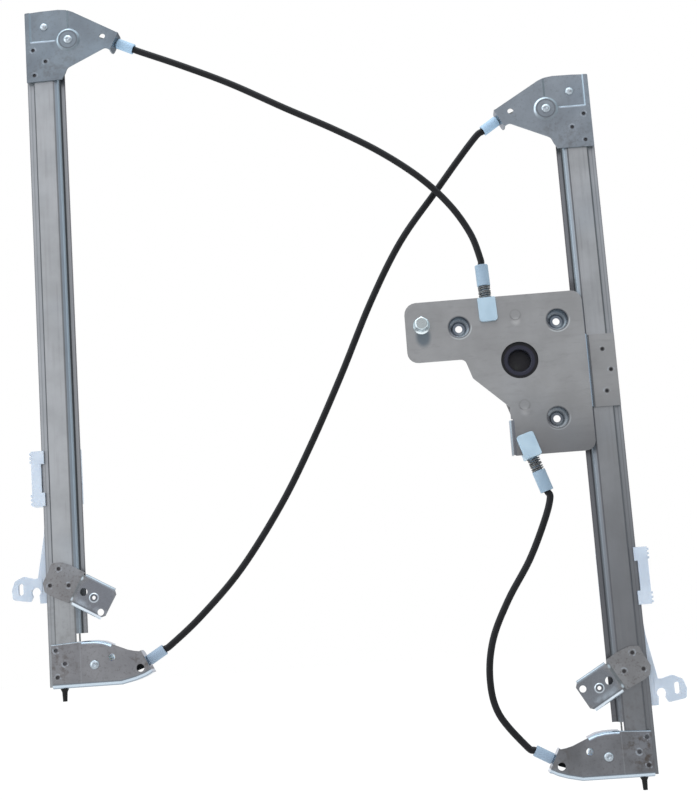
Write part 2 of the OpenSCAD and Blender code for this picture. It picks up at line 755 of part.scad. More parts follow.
module motor_plate() {
  dish_r = 8.8;
  floor_r = 5;
  dish_wall = 1.2;
  flange_x = plate_step_x - 1.5;
  flange_bend = 2.5;
  relief = plate_step_x + 2;
  outline = rounded_loop([
    [plate_left, plate_top, 10], [plate_right, plate_top, 9], [plate_right, plate_bottom, 8],
    [flange_x + flange_bend, plate_bottom, 1], [flange_x + flange_bend, -49.4, 0], [relief, -49.4, 0],
    [relief, -48.4, 0], [plate_step_x, -48.4, 0], [plate_step_x, -38.3, 3], [-39.5, -12.1, 3],
    [-44.8, 4.2, 5], [plate_left, 4.2, 9]
  ]);
  tab_path = rounded_path([
    [plate_right - 5, plate_sheet / 2, 0], [plate_right, plate_sheet / 2, 1.5],
    [plate_right + 2.2, web_y - plate_sheet / 2, 1.5], [right_rail_x + half_rail - 0.5, web_y - plate_sheet / 2, 0]
  ]);
  color(zinc) difference() {
    union() {
      difference() {
        face(0, plate_sheet) polygon(outline);
        for (p = motor_screws) rod(p, dish_r + dish_wall, -through, plate_sheet + through);
      }
      for (p = motor_screws) turned(p, [
        [dish_r + dish_wall, 0], [dish_r, 0], [floor_r, dish_depth], [screw_hole_d / 2, dish_depth],
        [screw_hole_d / 2, dish_depth + plate_sheet], [floor_r + dish_wall, dish_depth + plate_sheet],
        [dish_r + dish_wall, plate_sheet]
      ]);
      for (p = bosses) rod(p, boss_r, -boss_rise, plate_sheet / 2);
      translate([0, 0, tab_bottom]) linear_extrude(tab_top - tab_bottom) polygon(strip(tab_path, plate_sheet));
      straight_edge([flange_x, -49.4], [flange_x, plate_bottom + 0.6],
        bend_section(0, plate_sheet, flange_bend, 7));
    }
    for (p = bosses) rod(p, boss_r, plate_sheet - boss_rise, plate_sheet + through);
    rod([0, 0], motor_hole_d / 2, -through, plate_sheet + through);
    rod(bolt_place, bolt_r, -through, plate_sheet + through);
    clinches_on_tab();
    at_upper() outlet_slot(upper_block_start);
    at_lower() outlet_slot(lower_block_start);
  }
}
module clinches_on_tab() {
  clinches([[right_rail_x + 4.8, 4.7], [right_rail_x + 10.2, -12.7], [right_rail_x + 5.2, -30.3]], plate_joggle);
}
module outlet_slot(start) {
  translate([-outlet_half, -through, start + 3])
    cube([2 * outlet_half, plate_sheet + 2 * through, 2 * block_length]);
}
// The hex flange bolt that fixes the plate's left end to the door
module plate_bolt() {
  across_flats = 10;
  flange_r = 7;
  flange = 1.6;
  head = 10.5;
  end = plate_sheet + 12;
  collar = plate_sheet + 1;
  color(bright_zinc) {
    turned(bolt_place, [
      [0, end], [bolt_r - 0.8, end], [bolt_r, end - 1.5], [bolt_r, collar], [bolt_r + 1.6, collar],
      [bolt_r + 1.6, plate_sheet], [bolt_r, plate_sheet], [bolt_r, 0], [flange_r, 0], [flange_r, -0.5],
      [across_flats / 2 + 0.6, -flange], [0, -flange]
    ]);
    intersection() {
      translate([bolt_place.x, -flange, bolt_place.y]) rotate([90, 30, 0])
        cylinder(h = head, r = across_flats / 2 / cos(30), $fn = 6);
      turned(bolt_place, [
        [0, -flange], [across_flats, -flange], [across_flats, -flange - head + 3],
        [across_flats / 2 - 1, -flange - head], [0, -flange - head]
      ]);
    }
  }
}

module cable_drum() {
  barrel = drum_r - cable_r;
  hub_front = plate_sheet + 0.5;
  hub_out = 12.8;
  socket_r = 9.2;
  socket_floor = drum_back - 1;
  hub_end = cup_back + housing_wall + 1;
  lip = turn_pitch / 2 + 0.15;
  color([0.10, 0.11, 0.15]) difference() {
    turned([0, 0], [
      [0, socket_floor], [socket_r, socket_floor], [socket_r, hub_front + 1], [socket_r + 1, hub_front],
      [hub_out, hub_front], [hub_out, drum_front], [flange_r, drum_front], [flange_r, feed_y[0] - lip],
      [barrel, feed_y[0] - lip], [barrel, feed_y[3] + lip], [flange_r, feed_y[3] + lip],
      [flange_r, drum_back], [hub_r, drum_back], [hub_r, hub_end], [0, hub_end]
    ]);
    for (a = [0:30:330])
      rod(socket_r * [cos(a), sin(a)], 1.2, drum_front + 2, socket_floor);
  }
}
module drum_cable() {
  color(steel_wire) for (y = feed_y)
    translate([0, y, 0]) rotate([-90, 0, 0]) rotate_extrude() translate([drum_r, 0]) circle(r = cable_r);
}
module feed_cables() {
  inside = block_length + spring_length + 6;
  color(steel_wire) {
    at_upper() translate([0, upper_y, feed_start])
      cylinder(h = upper_block_start + inside - feed_start, r = cable_r);
    at_lower() translate([0, lower_y, feed_start])
      cylinder(h = lower_block_start + inside - feed_start, r = cable_r);
  }
}
// The moulded cup round the drum, with an arm to each outlet and two pegs in the plate's bosses
module drum_housing() {
  outer = cup_r + housing_wall;
  back = cup_back + housing_wall;
  ear = boss_r + 1.2;
  color([0.20, 0.21, 0.23]) difference() {
    union() {
      rod([0, 0], outer, plate_sheet, back);
      for (p = bosses) {
        rod(p, ear, plate_sheet, plate_sheet + 6);
        rod(p, boss_r - 0.2, plate_sheet - boss_rise, plate_sheet + 1);
        face(plate_sheet, plate_sheet + 4) polygon(strip([p, p * 0.6], 2 * ear - 1));
      }
      at_upper() housing_arm(upper_block_start, upper_y);
      at_lower() housing_arm(lower_block_start, lower_y);
    }
    rod([0, 0], cup_r, plate_sheet - through, cup_back);
    rod([0, 0], hub_r + hub_play, 0, back + through);
    at_upper() housing_channel(upper_block_start, upper_y);
    at_lower() housing_channel(lower_block_start, lower_y);
  }
}
module housing_arm(start, y) {
  difference() {
    translate([-arm_half, plate_sheet, 2]) cube([2 * arm_half, cup_back - plate_sheet - 1, start - 2]);
    housing_channel(start, y);
  }
}
module housing_channel(start, y) {
  half = cable_r + cable_play;
  translate([-half, plate_sheet - through, 0]) cube([2 * half, y - plate_sheet + through + half, start + through]);
}
// A moulded outlet: a lobe in front of the plate, a neck in its slot and a body behind it
module guide_block(start, y) {
  end = start + block_length;
  bore = neck_length + 1.5;
  front_lobe = rounded_loop([
    [-block_half, start, 2.5], [block_half, start, 2.5], [block_half, end, 1], [-block_half, end, 1]
  ]);
  color(nylon) difference() {
    union() {
      face(block_front, 0) polygon(front_lobe);
      translate([-outlet_half, -through, start + 3]) cube([2 * outlet_half, plate_sheet + 2 * through, end - start - 3]);
      face(plate_sheet, block_back) polygon(front_lobe);
    }
    translate([0, y, start - through]) cylinder(h = 2 * block_length, r = cable_r + cable_play);
    translate([0, y, end - bore]) cylinder(h = bore + through, r = neck_out_r + neck_play);
  }
}
module tension_spring(start, y) {
  coil = spring_length - 2 * wire_r;
  steps = 12;
  color(steel_wire) translate([0, y, start + block_length + wire_r]) tube([
    for (i = [0:spring_turns * steps])
      let (a = 360 * i / steps) [spring_r * cos(a), spring_r * sin(a), coil * i / steps / spring_turns]
  ], wire_r, 6, [0, 0, 1]);
}
// A sprung sleeve: its neck slides in the outlet and the conduit ends in its far bore
module tension_sleeve(start, y) {
  foot = start + block_length + spring_length;
  end = foot + sleeve_length;
  travel = 3.5;
  color(nylon) translate([0, y, 0]) difference() {
    union() {
      translate([0, 0, foot]) cylinder(h = sleeve_length, r = sleeve_r);
      translate([0, 0, foot - spring_length - neck_length + travel])
        cylinder(h = spring_length + neck_length, r = neck_out_r);
    }
    translate([0, 0, start]) cylinder(h = end, r = cable_r + cable_play);
    translate([0, 0, end - sleeve_seat - travel])
      cylinder(h = sleeve_seat + travel + through, r = conduit_r + 0.3);
  }
}

// Points of the conduits' ends, in the part's frame
function from_wall(is_left, at, tilt, s) = [
  is_left ? left_x + at.x + s * cos(tilt) : right_rail_x - at.x - s * cos(tilt),
  web_y + cable_y,
  (is_left ? left_foot : right_foot) + at.y - s * sin(tilt)
];
function wall_end(is_left, at, tilt) =
  [for (s = [conduit_seat, ferrule_length, ferrule_length + 7]) from_wall(is_left, at, tilt, s)];
function sleeve_mouth(start) = start + block_length + spring_length + sleeve_length;
function sleeve_end(x, turn, y, start) =
  [for (s = [-sleeve_seat, 0, 6]) feed_point(x, turn, y, sleeve_mouth(start) + s)];

module upper_conduit() {
  color(black) tube(smooth(concat(
    wall_end(true, top_exit, left_top_tilt), upper_route,
    reverse(sleeve_end(-drum_r, upper_turn, upper_y, upper_block_start))
  ), 2), conduit_r);
}
module cross_conduit() {
  color(black) tube(smooth(concat(
    wall_end(true, low_exit, -left_low_tilt), cross_route,
    reverse(wall_end(false, top_exit, right_top_tilt))
  ), 3), conduit_r);
}
module lower_conduit() {
  color(black) tube(smooth(concat(
    sleeve_end(drum_r, lower_turn, lower_y, lower_block_start), lower_route,
    reverse(wall_end(false, low_exit, -right_low_tilt))
  ), 2), conduit_r);
}

rail(true);  // left_rail
rail(false);  // right_rail
top_bracket(true);  // left_top_bracket
top_bracket(false);  // right_top_bracket
bottom_bracket(true);  // left_bottom_bracket
bottom_bracket(false);  // right_bottom_bracket
side_bracket(true);  // left_side_bracket
side_bracket(false);  // right_side_bracket
top_stud(true);  // left_top_stud
top_stud(false);  // right_top_stud
axle(true, top_pulley, -bracket_sheet - seat_rise);  // left_top_axle
axle(false, top_pulley, -bracket_sheet - seat_rise);  // right_top_axle
axle(true, low_pulley, -bracket_sheet);  // left_bottom_axle
axle(false, low_pulley, -bracket_sheet);  // right_bottom_axle
pulley(true, top_pulley);  // left_top_pulley
pulley(false, top_pulley);  // right_top_pulley
pulley(true, low_pulley);  // left_bottom_pulley
pulley(false, low_pulley);  // right_bottom_pulley
ferrule(true, top_exit, left_top_tilt);  // left_top_ferrule
ferrule(false, top_exit, right_top_tilt);  // right_top_ferrule
ferrule(true, low_exit, -left_low_tilt);  // left_bottom_ferrule
ferrule(false, low_exit, -right_low_tilt);  // right_bottom_ferrule
bumper(true);  // left_bumper
bumper(false);  // right_bumper
rail_cable(true);  // left_rail_cable
rail_cable(false);  // right_rail_cable
carrier(true);  // left_carrier
carrier(false);  // right_carrier
nipples(true);  // left_nipples
nipples(false);  // right_nipples
motor_plate();
plate_bolt();
drum_housing();
cable_drum();
drum_cable();
feed_cables();
at_upper() guide_block(upper_block_start, upper_y);  // upper_guide_block
at_lower() guide_block(lower_block_start, lower_y);  // lower_guide_block
at_upper() tension_spring(upper_block_start, upper_y);  // upper_spring
at_lower() tension_spring(lower_block_start, lower_y);  // lower_spring
at_upper() tension_sleeve(upper_block_start, upper_y);  // upper_sleeve
at_lower() tension_sleeve(lower_block_start, lower_y);  // lower_sleeve
upper_conduit();
cross_conduit();
lower_conduit();
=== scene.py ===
# Window regulator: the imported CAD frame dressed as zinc-coated pressings, white nylon and black
# conduit, hung in front of a plain white ground.
import json
import math

import bpy
from mathutils import Matrix, Vector


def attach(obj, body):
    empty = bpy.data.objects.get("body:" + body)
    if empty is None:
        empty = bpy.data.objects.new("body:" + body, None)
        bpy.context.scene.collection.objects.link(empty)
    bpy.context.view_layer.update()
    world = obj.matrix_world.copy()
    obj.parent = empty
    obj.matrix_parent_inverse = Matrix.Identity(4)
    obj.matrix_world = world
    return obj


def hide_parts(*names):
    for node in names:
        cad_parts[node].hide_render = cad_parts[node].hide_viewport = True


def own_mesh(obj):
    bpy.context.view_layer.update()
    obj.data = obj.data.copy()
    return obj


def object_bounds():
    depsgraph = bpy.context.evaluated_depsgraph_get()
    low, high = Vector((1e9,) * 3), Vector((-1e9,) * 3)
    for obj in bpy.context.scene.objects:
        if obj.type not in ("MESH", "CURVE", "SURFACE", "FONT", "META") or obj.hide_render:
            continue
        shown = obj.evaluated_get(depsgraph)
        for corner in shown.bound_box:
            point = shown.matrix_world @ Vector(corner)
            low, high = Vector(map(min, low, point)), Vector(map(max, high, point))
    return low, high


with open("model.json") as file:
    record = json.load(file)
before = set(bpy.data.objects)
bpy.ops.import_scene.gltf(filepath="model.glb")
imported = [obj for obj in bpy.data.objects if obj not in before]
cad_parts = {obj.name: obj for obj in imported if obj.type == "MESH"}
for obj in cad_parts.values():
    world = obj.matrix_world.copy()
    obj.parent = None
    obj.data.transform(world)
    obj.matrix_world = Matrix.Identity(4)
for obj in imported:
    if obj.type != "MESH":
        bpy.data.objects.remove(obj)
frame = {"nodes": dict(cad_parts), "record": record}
cad_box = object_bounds()
NODES = frame["nodes"]
RECORD = frame["record"]
BODY_OF = {n: body for body, names in RECORD["behaviour"]["bodies"].items() for n in names}
MM = 0.001

# The rails: centre line, foot and front of the web, in millimetres as in the part's source
RAIL_X = {"left": -387.0, "right": 64.0}
FOOT = {"left": -238.0, "right": -338.0}
WEB_Y = 7.0

# Pulleys, end walls and clinched joints, each inward from a rail's centre line and up from its foot
PULLEY_R = 13.5
PULLEY_U, LOW_PULLEY_Z, TOP_PULLEY_Z = 22.3, 16.0, 553.0
LOW_PULLEY, TOP_PULLEY = (PULLEY_U, LOW_PULLEY_Z), (PULLEY_U, TOP_PULLEY_Z)
LOW_EXIT = (PULLEY_U + 42.1, LOW_PULLEY_Z - 0.2)
TOP_EXIT = (PULLEY_U + 40.3, TOP_PULLEY_Z - 2.6)
TOP_PAD, LOW_PAD, RIVET_HEAD, DIMPLE_R, DIMPLE_DEPTH = 2.7, 1.5, 1.8, 1.5, 0.9
CLINCHES = {
    "top": ((-9.0, 546.0), (1.6, 535.0), (-8.5, 523.0)),
    "low": ((-9.0, 29.5), (-2.0, 18.5), (-8.4, 7.8)),
    "side": ((-4.2, 95.6), (-11.8, 82.4), (3.7, 81.5)),
}

# A side bracket's fold: how far it leans and where it lies
LEAF_TURN, FOLD_U, FOLD_Z = math.radians(30), 10.0, 79.0

# The motor plate's dished screw holes, bosses and bolt, and the joints of its tab on the right rail
DISHES = ((-47.4, 31.5), (33.6, 31.5), (26.8, -49.7))
BOSSES = ((-0.4, 38.1), (0.6, -37.5))
BOLT_X, BOLT_Z = -77.4, 25.5
TAB_CLINCHES = ((4.8, 4.7), (10.2, -12.7), (5.2, -30.3))

# Cable and conduits; the cable ends a little beyond each exit, and a conduit's tilt is how steeply
# it falls away from its bracket, in degrees
CABLE_Y, CABLE_R, CABLE_END, CABLE_STEP = 8.5, 0.75, 3, 1.4
CABLE_WIRES, CABLE_LAY = 6, 11.0
CONDUIT_SEAT, FERRULE_LENGTH, FERRULE_STRAIGHT, CONDUIT_R = 6.0, 16.5, 7, 2.85
LEFT_TOP_TILT, RIGHT_TOP_TILT, LEFT_LOW_TILT, RIGHT_LOW_TILT = 26, 33, -31, -29
# A black sleeve round the cable in each bottom bracket, put there to darken the view through its exit hole
DARK_SLEEVE_R, DARK_SLEEVE_BORE_R, DARK_SLEEVE_SPAN = 4.0, 1.3, (4.0, 13.0)

# The drum and its two feeds: block, spring and sleeve in a row along the cable
DRUM_R = 21.0
TURNS_Y = [5 + 1.9 * i for i in range(4)]
FEED_X = {"upper": -DRUM_R, "lower": DRUM_R}
FEED_Y = {"upper": TURNS_Y[1], "lower": TURNS_Y[2]}
FEED_TURN = {"upper": math.radians(-2.3), "lower": math.radians(162.0)}
FEED_START = {"upper": 35.2, "lower": 57.8}
FEED_FIRST, FEED_IN_SLEEVE = 9, 6
BLOCK_LENGTH, SPRING_LENGTH, SLEEVE_LENGTH, SLEEVE_SEAT, SLEEVE_STRAIGHT = 20.0, 11.5, 18.0, 9.0, 6
SPRING_R, WIRE_R, SPRING_TURNS, SPRING_TRAVEL = 4.6, 0.65, 6, 3.0


def place(x, y, z):
    """A point of the part's frame, from millimetres to metres."""
    return Vector((x, y, z)) * MM


def rail_point(side, u, y, z):
    """A point of a rail's own frame: inward, back from the web's front and up from the foot."""
    return place(RAIL_X[side] + (u if side == "left" else -u), WEB_Y + y, FOOT[side] + z)


def cable_point(side, at, away, angle):
    """A point in a rail's cable plane: away from a place there, at an angle in degrees above inward."""
    turn = math.radians(angle)
    return rail_point(side, at[0] + away * math.cos(turn), CABLE_Y, at[1] + away * math.sin(turn))


def leaf_point(side, out, y, along):
    """A point of a side bracket's outer leaf: out from its fold and along it."""
    u = FOLD_U + out * math.cos(LEAF_TURN) + along * math.sin(LEAF_TURN)
    return rail_point(side, u, y, FOLD_Z - out * math.sin(LEAF_TURN) + along * math.cos(LEAF_TURN))


def feed_point(which, s):
    """The point of a feed cable s millimetres along it from beside the drum's axis."""
    turn, x = FEED_TURN[which], FEED_X[which]
    along_x = x * math.cos(turn) + s * math.sin(turn)
    return place(along_x, FEED_Y[which], s * math.cos(turn) - x * math.sin(turn))


# The camera stands where the photograph was taken from
IMAGE_W, IMAGE_H, FOCAL_PX, SENSOR = 697, 800, 1400, 36
CAMERA_AT, CAMERA_TURNS = (-95.6, -1139.0, -200.6), (-2.383, 8.898, -4.121)


def set_camera():
    yaw, pitch, roll = (math.radians(a) for a in CAMERA_TURNS)
    ahead = Vector((math.sin(yaw) * math.cos(pitch), math.cos(yaw) * math.cos(pitch), math.sin(pitch)))
    level = ahead.cross(Vector((0, 0, 1))).normalized()
    upright = level.cross(ahead)
    right = level * math.cos(roll) + upright * math.sin(roll)
    up = upright * math.cos(roll) - level * math.sin(roll)
    data = bpy.data.cameras.new("view")
    data.sensor_width = SENSOR
    data.lens = FOCAL_PX * SENSOR / max(IMAGE_W, IMAGE_H)
    camera = bpy.data.objects.new("view", data)
    bpy.context.scene.collection.objects.link(camera)
    facing = Matrix((right, up, -ahead)).transposed()
    camera.matrix_world = Matrix.LocRotScale(place(*CAMERA_AT), facing, None)
    bpy.context.scene.camera = camera


set_camera()


class Wire:
    """A socket in a finish. Arithmetic on it adds Math nodes."""

    def __init__(self, finish, socket):
        self.finish = finish
        self.socket = socket

    def math(self, operation, *others):
        return self.finish.node("Math", {"operation": operation}, [self, *others])

    def __add__(self, other):
        return self.math("ADD", other)

    def __sub__(self, other):
        return self.math("SUBTRACT", other)

    def __rsub__(self, other):
        return self.finish.node("Math", {"operation": "SUBTRACT"}, [other, self])

    def __mul__(self, other):
        return self.math("MULTIPLY", other)

    def __truediv__(self, other):
        return self.math("DIVIDE", other)

    def over(self, low, high):
        """0 up to low, 1 from high, smooth between."""
        settings = {"interpolation_type": "SMOOTHSTEP"}
        return self.finish.node("MapRange", settings, [self, low, high, 0.0, 1.0])


class Finish:
    """A procedural material: one Principled shader, its constants and what varies over the surface."""

    def __init__(self, name, **constants):
        self.material = bpy.data.materials.new(name)
        self.material.use_nodes = True
        self.tree = self.material.node_tree
        self.shader = self.tree.nodes["Principled BSDF"]
        for socket, value in constants.items():
            self.shader.inputs[socket.replace("_", " ")].default_value = value
        self.place = self.node("TexCoord", output="Object")

    def node(self, kind, settings=None, inputs=(), output=0):
        made = self.tree.nodes.new("ShaderNode" + kind)
        for name, value in (settings or {}).items():
            setattr(made, name, value)
        pairs = inputs.items() if isinstance(inputs, dict) else enumerate(inputs)
        for key, value in pairs:
            if isinstance(value, Wire):
                self.tree.links.new(value.socket, made.inputs[key])
            else:
                made.inputs[key].default_value = value
        return Wire(self, made.outputs[output])

    def set(self, **wires):
        for socket, wire in wires.items():
            self.tree.links.new(wire.socket, self.shader.inputs[socket.replace("_", " ")])

    def noise(self, per_mm, detail=3.0, rough=0.5, stretch=(1, 1, 1), shift=(0, 0, 0)):
        """Noise from 0 to 1, about per_mm swings in a millimetre; stretch makes grain that runs one way."""
        moved = self.node("Mapping", {}, {0: self.place, 1: shift, 3: stretch})
        inputs = {"Vector": moved, "Scale": per_mm / MM, "Detail": detail, "Roughness": rough}
        return self.node("TexNoise", {}, inputs)

    def axis(self, which):
        return self.node("SeparateXYZ", {}, [self.place], "XYZ".index(which))

    def inward(self, side):
        """Millimetres from a rail's centre line towards the other rail."""
        x = self.axis("X") / MM
        return x - RAIL_X[side] if side == "left" else RAIL_X[side] - x

    def mix(self, mask, first, second):
        """Colour: first where the mask is 0, second where it is 1."""
        return self.node("Mix", {"data_type": "RGBA"}, {0: mask, 6: first, 7: second}, 2)

    def away(self, point):
        """Metres from a point."""
        return self.node("VectorMath", {"operation": "DISTANCE"}, {0: self.place, 1: tuple(point)}, "Value")

    def spot(self, point, inner, outer):
        """1 within inner millimetres of a point, 0 beyond outer."""
        return self.away(point).over(outer * MM, inner * MM)

    def bump(self, height, depth):
        """Relief of depth millimetres where the height goes from 0 to 1."""
        inputs = {"Strength": 1.0, "Distance": depth * MM, "Height": height}
        self.set(Normal=self.node("Bump", {}, inputs))


def rgba(r, g, b):
    return (r, g, b, 1.0)


def shade(colour, share):
    return rgba(*(c * share for c in colour))


class Sheet(Finish):
    """Zinc-coated sheet: soft mottling, lines along the rolling direction, a fine grain, and marks."""

    def __init__(self, name, colour, dark, lines=(1, 1, 0.04), roughness=0.38, relief=0.012):
        super().__init__(name, Metallic=0.85)
        mottle = self.noise(0.035, 3, 0.55)
        cloud = self.noise(0.011, 2, 0.5, shift=(3, 1, 7))
        drawn = self.noise(0.5, 3, 0.65, stretch=lines)
        grain = self.noise(2.4, 2, 0.5)
        fleck = self.noise(0.9, 2, 0.6, shift=(5, 2, 1))
        paint = self.mix(mottle.over(0.3, 0.72), rgba(*dark), rgba(*colour))
        bluish = rgba(colour[0] * 0.92, colour[1] * 1.04, colour[2] * 1.16)
        paint = self.mix(cloud.over(0.5, 0.75) * 0.35, paint, bluish)
        paint = self.mix(drawn.over(0.5, 0.8) * 0.3, paint, shade(colour, 0.7))
        self.paint = self.mix(fleck.over(0.62, 0.78) * 0.25, paint, shade(colour, 0.55))
        self.height = drawn * 0.5 + grain * 0.5
        self.rough = mottle * 0.12 + grain * 0.1 + (roughness - 0.1)
        self.relief = relief

    def lay(self, mask, tone, share=1.0):
        self.paint = self.mix(mask * share, self.paint, rgba(*tone))

    def ring(self, point, radius, width):
        """1 on a ring of that radius round a point, 0 beyond width on either side."""
        return (self.away(point) / MM - radius).math("ABSOLUTE").over(width, 0.0)

    def clinch(self, point, tone=(0.04, 0.038, 0.04)):
        """A pressed joint: painted shade in its dimple and a patchy painted highlight round its rim."""
        # Painted highlight, patchy, on the ring round the rim; painted shade over the dimple
        rim_glint = self.noise(0.3, 2, 0.6, shift=tuple(point)).over(0.48, 0.62)
        self.lay(self.ring(point, 2.6, 1.0) * rim_glint, (0.42, 0.47, 0.53), 0.5)
        self.lay(self.spot(point, 1.2, 2.2), tone, 0.9)

    def clinches(self, side, bracket):
        """The joints that hold a bracket on its rail."""
        for u, z in CLINCHES[bracket]:
            self.clinch(rail_point(side, u, -1, z))

    def polish(self, mask, share):
        """Rubbed or stretched metal shines more."""
        self.rough = self.rough * (1.0 - mask * share)

    def grease(self, point, reach, share=0.6, tone=(0.07, 0.055, 0.045), shift=(0, 0, 0)):
        """Old grease and dust, patchy, fading with distance from a point."""
        patch = self.noise(0.16, 4, 0.7, shift=shift).over(0.46, 0.66)
        self.lay(self.spot(point, reach * 0.2, reach) * patch, tone, share)

    def speckle(self, share, tone, per_mm=0.35):
        self.lay(self.noise(per_mm, 4, 0.75, shift=(2, 8, 4)).over(0.52, 0.66), tone, share)

    def done(self):
        self.set(Base_Color=self.paint, Roughness=self.rough)
        self.bump(self.height, self.relief)
        return self


def plain_metal(name, colour, dark, roughness, per_mm=0.8):
    """Plated or drawn metal with light wear."""
    f = Finish(name, Metallic=1.0)
    wear = f.noise(per_mm, 3, 0.6)
    paint = f.mix(wear.over(0.35, 0.7), rgba(*dark), rgba(*colour))
    f.set(Base_Color=paint, Roughness=wear * 0.18 + roughness)
    f.bump(f.noise(per_mm * 3, 2), 0.01)
    return f


def moulded(name, colour, shaded, roughness, see_through=0.0, specular=0.5):
    """A moulding, faintly cloudy, with a fine grain; see_through lets light into it."""
    f = Finish(
        name, Subsurface_Weight=see_through, Subsurface_Radius=(0.004, 0.005, 0.006), IOR=1.5,
        Specular_IOR_Level=specular,
    )
    cloud = f.noise(0.06, 2, 0.5)
    grain = f.noise(1.6, 2, 0.5)
    paint = f.mix(cloud.over(0.35, 0.7), rgba(*shaded), rgba(*colour))
    f.set(Base_Color=paint, Roughness=grain * 0.12 + roughness)
    f.bump(grain, 0.006)
    return f


def rail_finish(side):
    """A drawn rail: warm web, painted shade along its folds and edges, a painted bluish reflection on its
    slope, painted light and shade on a pale inner flange, and painted shade towards its ends.
    """
    f = Sheet(side + "_rail_zinc", (0.37, 0.385, 0.40), (0.31, 0.325, 0.335), roughness=0.36)
    across = f.inward(side)

    def band(low, high, soft=0.5):
        """1 between two distances inward of the centre line, 0 beyond soft."""
        return across.over(low - soft, low) * across.over(high + soft, high)

    left = side == "left"
    # Painted light and shade across the section: painted shade on the outer flange, in the creases along the
    # folds and at both edges, a painted bluish reflection on the slope, and painted shade on the inner
    # flange, deeper on the right rail
    f.lay(band(-16.5, -9.9), (0.30, 0.325, 0.35), 0.5)
    f.lay(band(-13.4, -13.0, 0.4), (0.12, 0.125, 0.13), 0.4)
    f.lay(band(-10.2, -9.1), (0.03, 0.03, 0.034), 0.9 if left else 0.75)
    f.lay(band(6.9, 7.9, 0.4), (0.08, 0.085, 0.095), 0.55 if left else 0.8)
    f.lay(band(8.5, 11.2), (0.26, 0.31, 0.37) if left else (0.20, 0.235, 0.275), 0.8)
    f.lay(band(11.7, 12.7, 0.4), (0.04, 0.04, 0.044), 0.85)
    f.lay(band(13.0, 15.8), (0.25, 0.265, 0.28) if left else (0.16, 0.17, 0.185), 0.85)
    f.lay(across.over(-15.0, -15.8), (0.10, 0.10, 0.11), 0.6)
    f.lay(across.over(14.9, 15.6), (0.10, 0.10, 0.11), 0.7)
    # Painted shade: the left rail darker at its foot and its web darker and bluer near its top; the right
    # rail darker from the plate's height down, with the plate's painted shadow on its inner slope
    up = f.axis("Z") / MM
    if left:
        f.lay(up.over(230.0, 330.0) * band(-9.0, 6.8), (0.22, 0.25, 0.28), 0.45)
        f.lay(up.over(-100.0, -230.0), (0.24, 0.245, 0.25), 0.35)
    else:
        f.lay(up.over(60.0, -230.0), (0.105, 0.108, 0.118), 0.74)
        shaded = up.over(70.0, 62.0) * up.over(-84.0, -76.0) * across.over(9.5, 12.0)
        f.lay(shaded, (0.05, 0.05, 0.055), 0.6)
    for u, width, share in ((-5.6, 0.5, 0.22), (-1.8, 0.9, 0.15), (3.4, 0.4, 0.25), (5.8, 0.3, 0.2)):
        worn = f.noise(0.02, 3, 0.6, stretch=(0.2, 0.2, 1), shift=(u, 0, 0)).over(0.45, 0.62)
        f.lay(band(u - width, u + width, 0.4) * worn, (0.20, 0.20, 0.205), share)
    soiled_z = 30 if left else 40
    f.grease(rail_point(side, -4, 0, soiled_z + 38), 34, 0.2, shift=(3, 3, 3))
    f.grease(rail_point(side, 9, 3, soiled_z), 30, 0.3, shift=(6, 1, 3))
    return f.done()


def top_finish(side):
    """A top bracket: bluish sheet, a painted highlight and painted shade on the ring round its pulley's pad,
    and painted highlights and painted shade along its folds.
    """
    colour, dark = {
        "left": ((0.215, 0.255, 0.29), (0.165, 0.195, 0.225)),
        "right": ((0.25, 0.285, 0.32), (0.20, 0.23, 0.26)),
    }[side]
    f = Sheet(side + "_top_bracket_zinc", colour, dark, lines=(0.3, 1, 0.3), roughness=0.34, relief=0.02)
    f.clinches(side, "top")
    f.speckle(0.3, (0.12, 0.13, 0.135))
    f.grease(rail_point(side, 0, -1, 520), 26, 0.35, (0.09, 0.085, 0.08))
    f.grease(rail_point(side, 14, -1, 532), 24, 0.3, (0.09, 0.085, 0.08), (4, 1, 2))
    middle = rail_point(side, PULLEY_U, -2, TOP_PULLEY_Z)
    x, z = f.axis("X") / MM, f.axis("Z") / MM
    aslant = z - x - (middle.z - middle.x) / MM
    # Painted highlight on the upper left of the pulley's seat ring, painted shade in the groove inside it
    f.lay(f.ring(middle, 9.4, 1.0) * aslant.over(4.0, 10.0), (0.58, 0.66, 0.74), 0.7)
    f.lay(f.ring(middle, 7.7, 0.9), (0.07, 0.08, 0.09), 0.6)
    u, up = f.inward(side), z - (FOOT[side] + TOP_PULLEY_Z)
    # Painted highlight along the lower step of the stud's pad
    foot = up.over(-0.9, -0.2) * up.over(1.7, 1.0) * u.over(-11.6, -10.6) * u.over(12.0, 9.0)
    f.lay(foot, (0.50, 0.58, 0.66), 0.65)
    # Painted light on the slope along the pad's outer side
    edge = u.over(-12.0, -11.4) * u.over(-9.6, -10.2) * up.over(0.0, 1.0)
    f.lay(edge, (0.26, 0.33, 0.40), 0.3)
    # Painted shade in the crease above the pulley's seat
    f.lay(u.over(21.4, 21.9) * u.over(23.6, 22.9) * up.over(10.0, 12.0), (0.10, 0.12, 0.13), 0.55)
    return f.done()


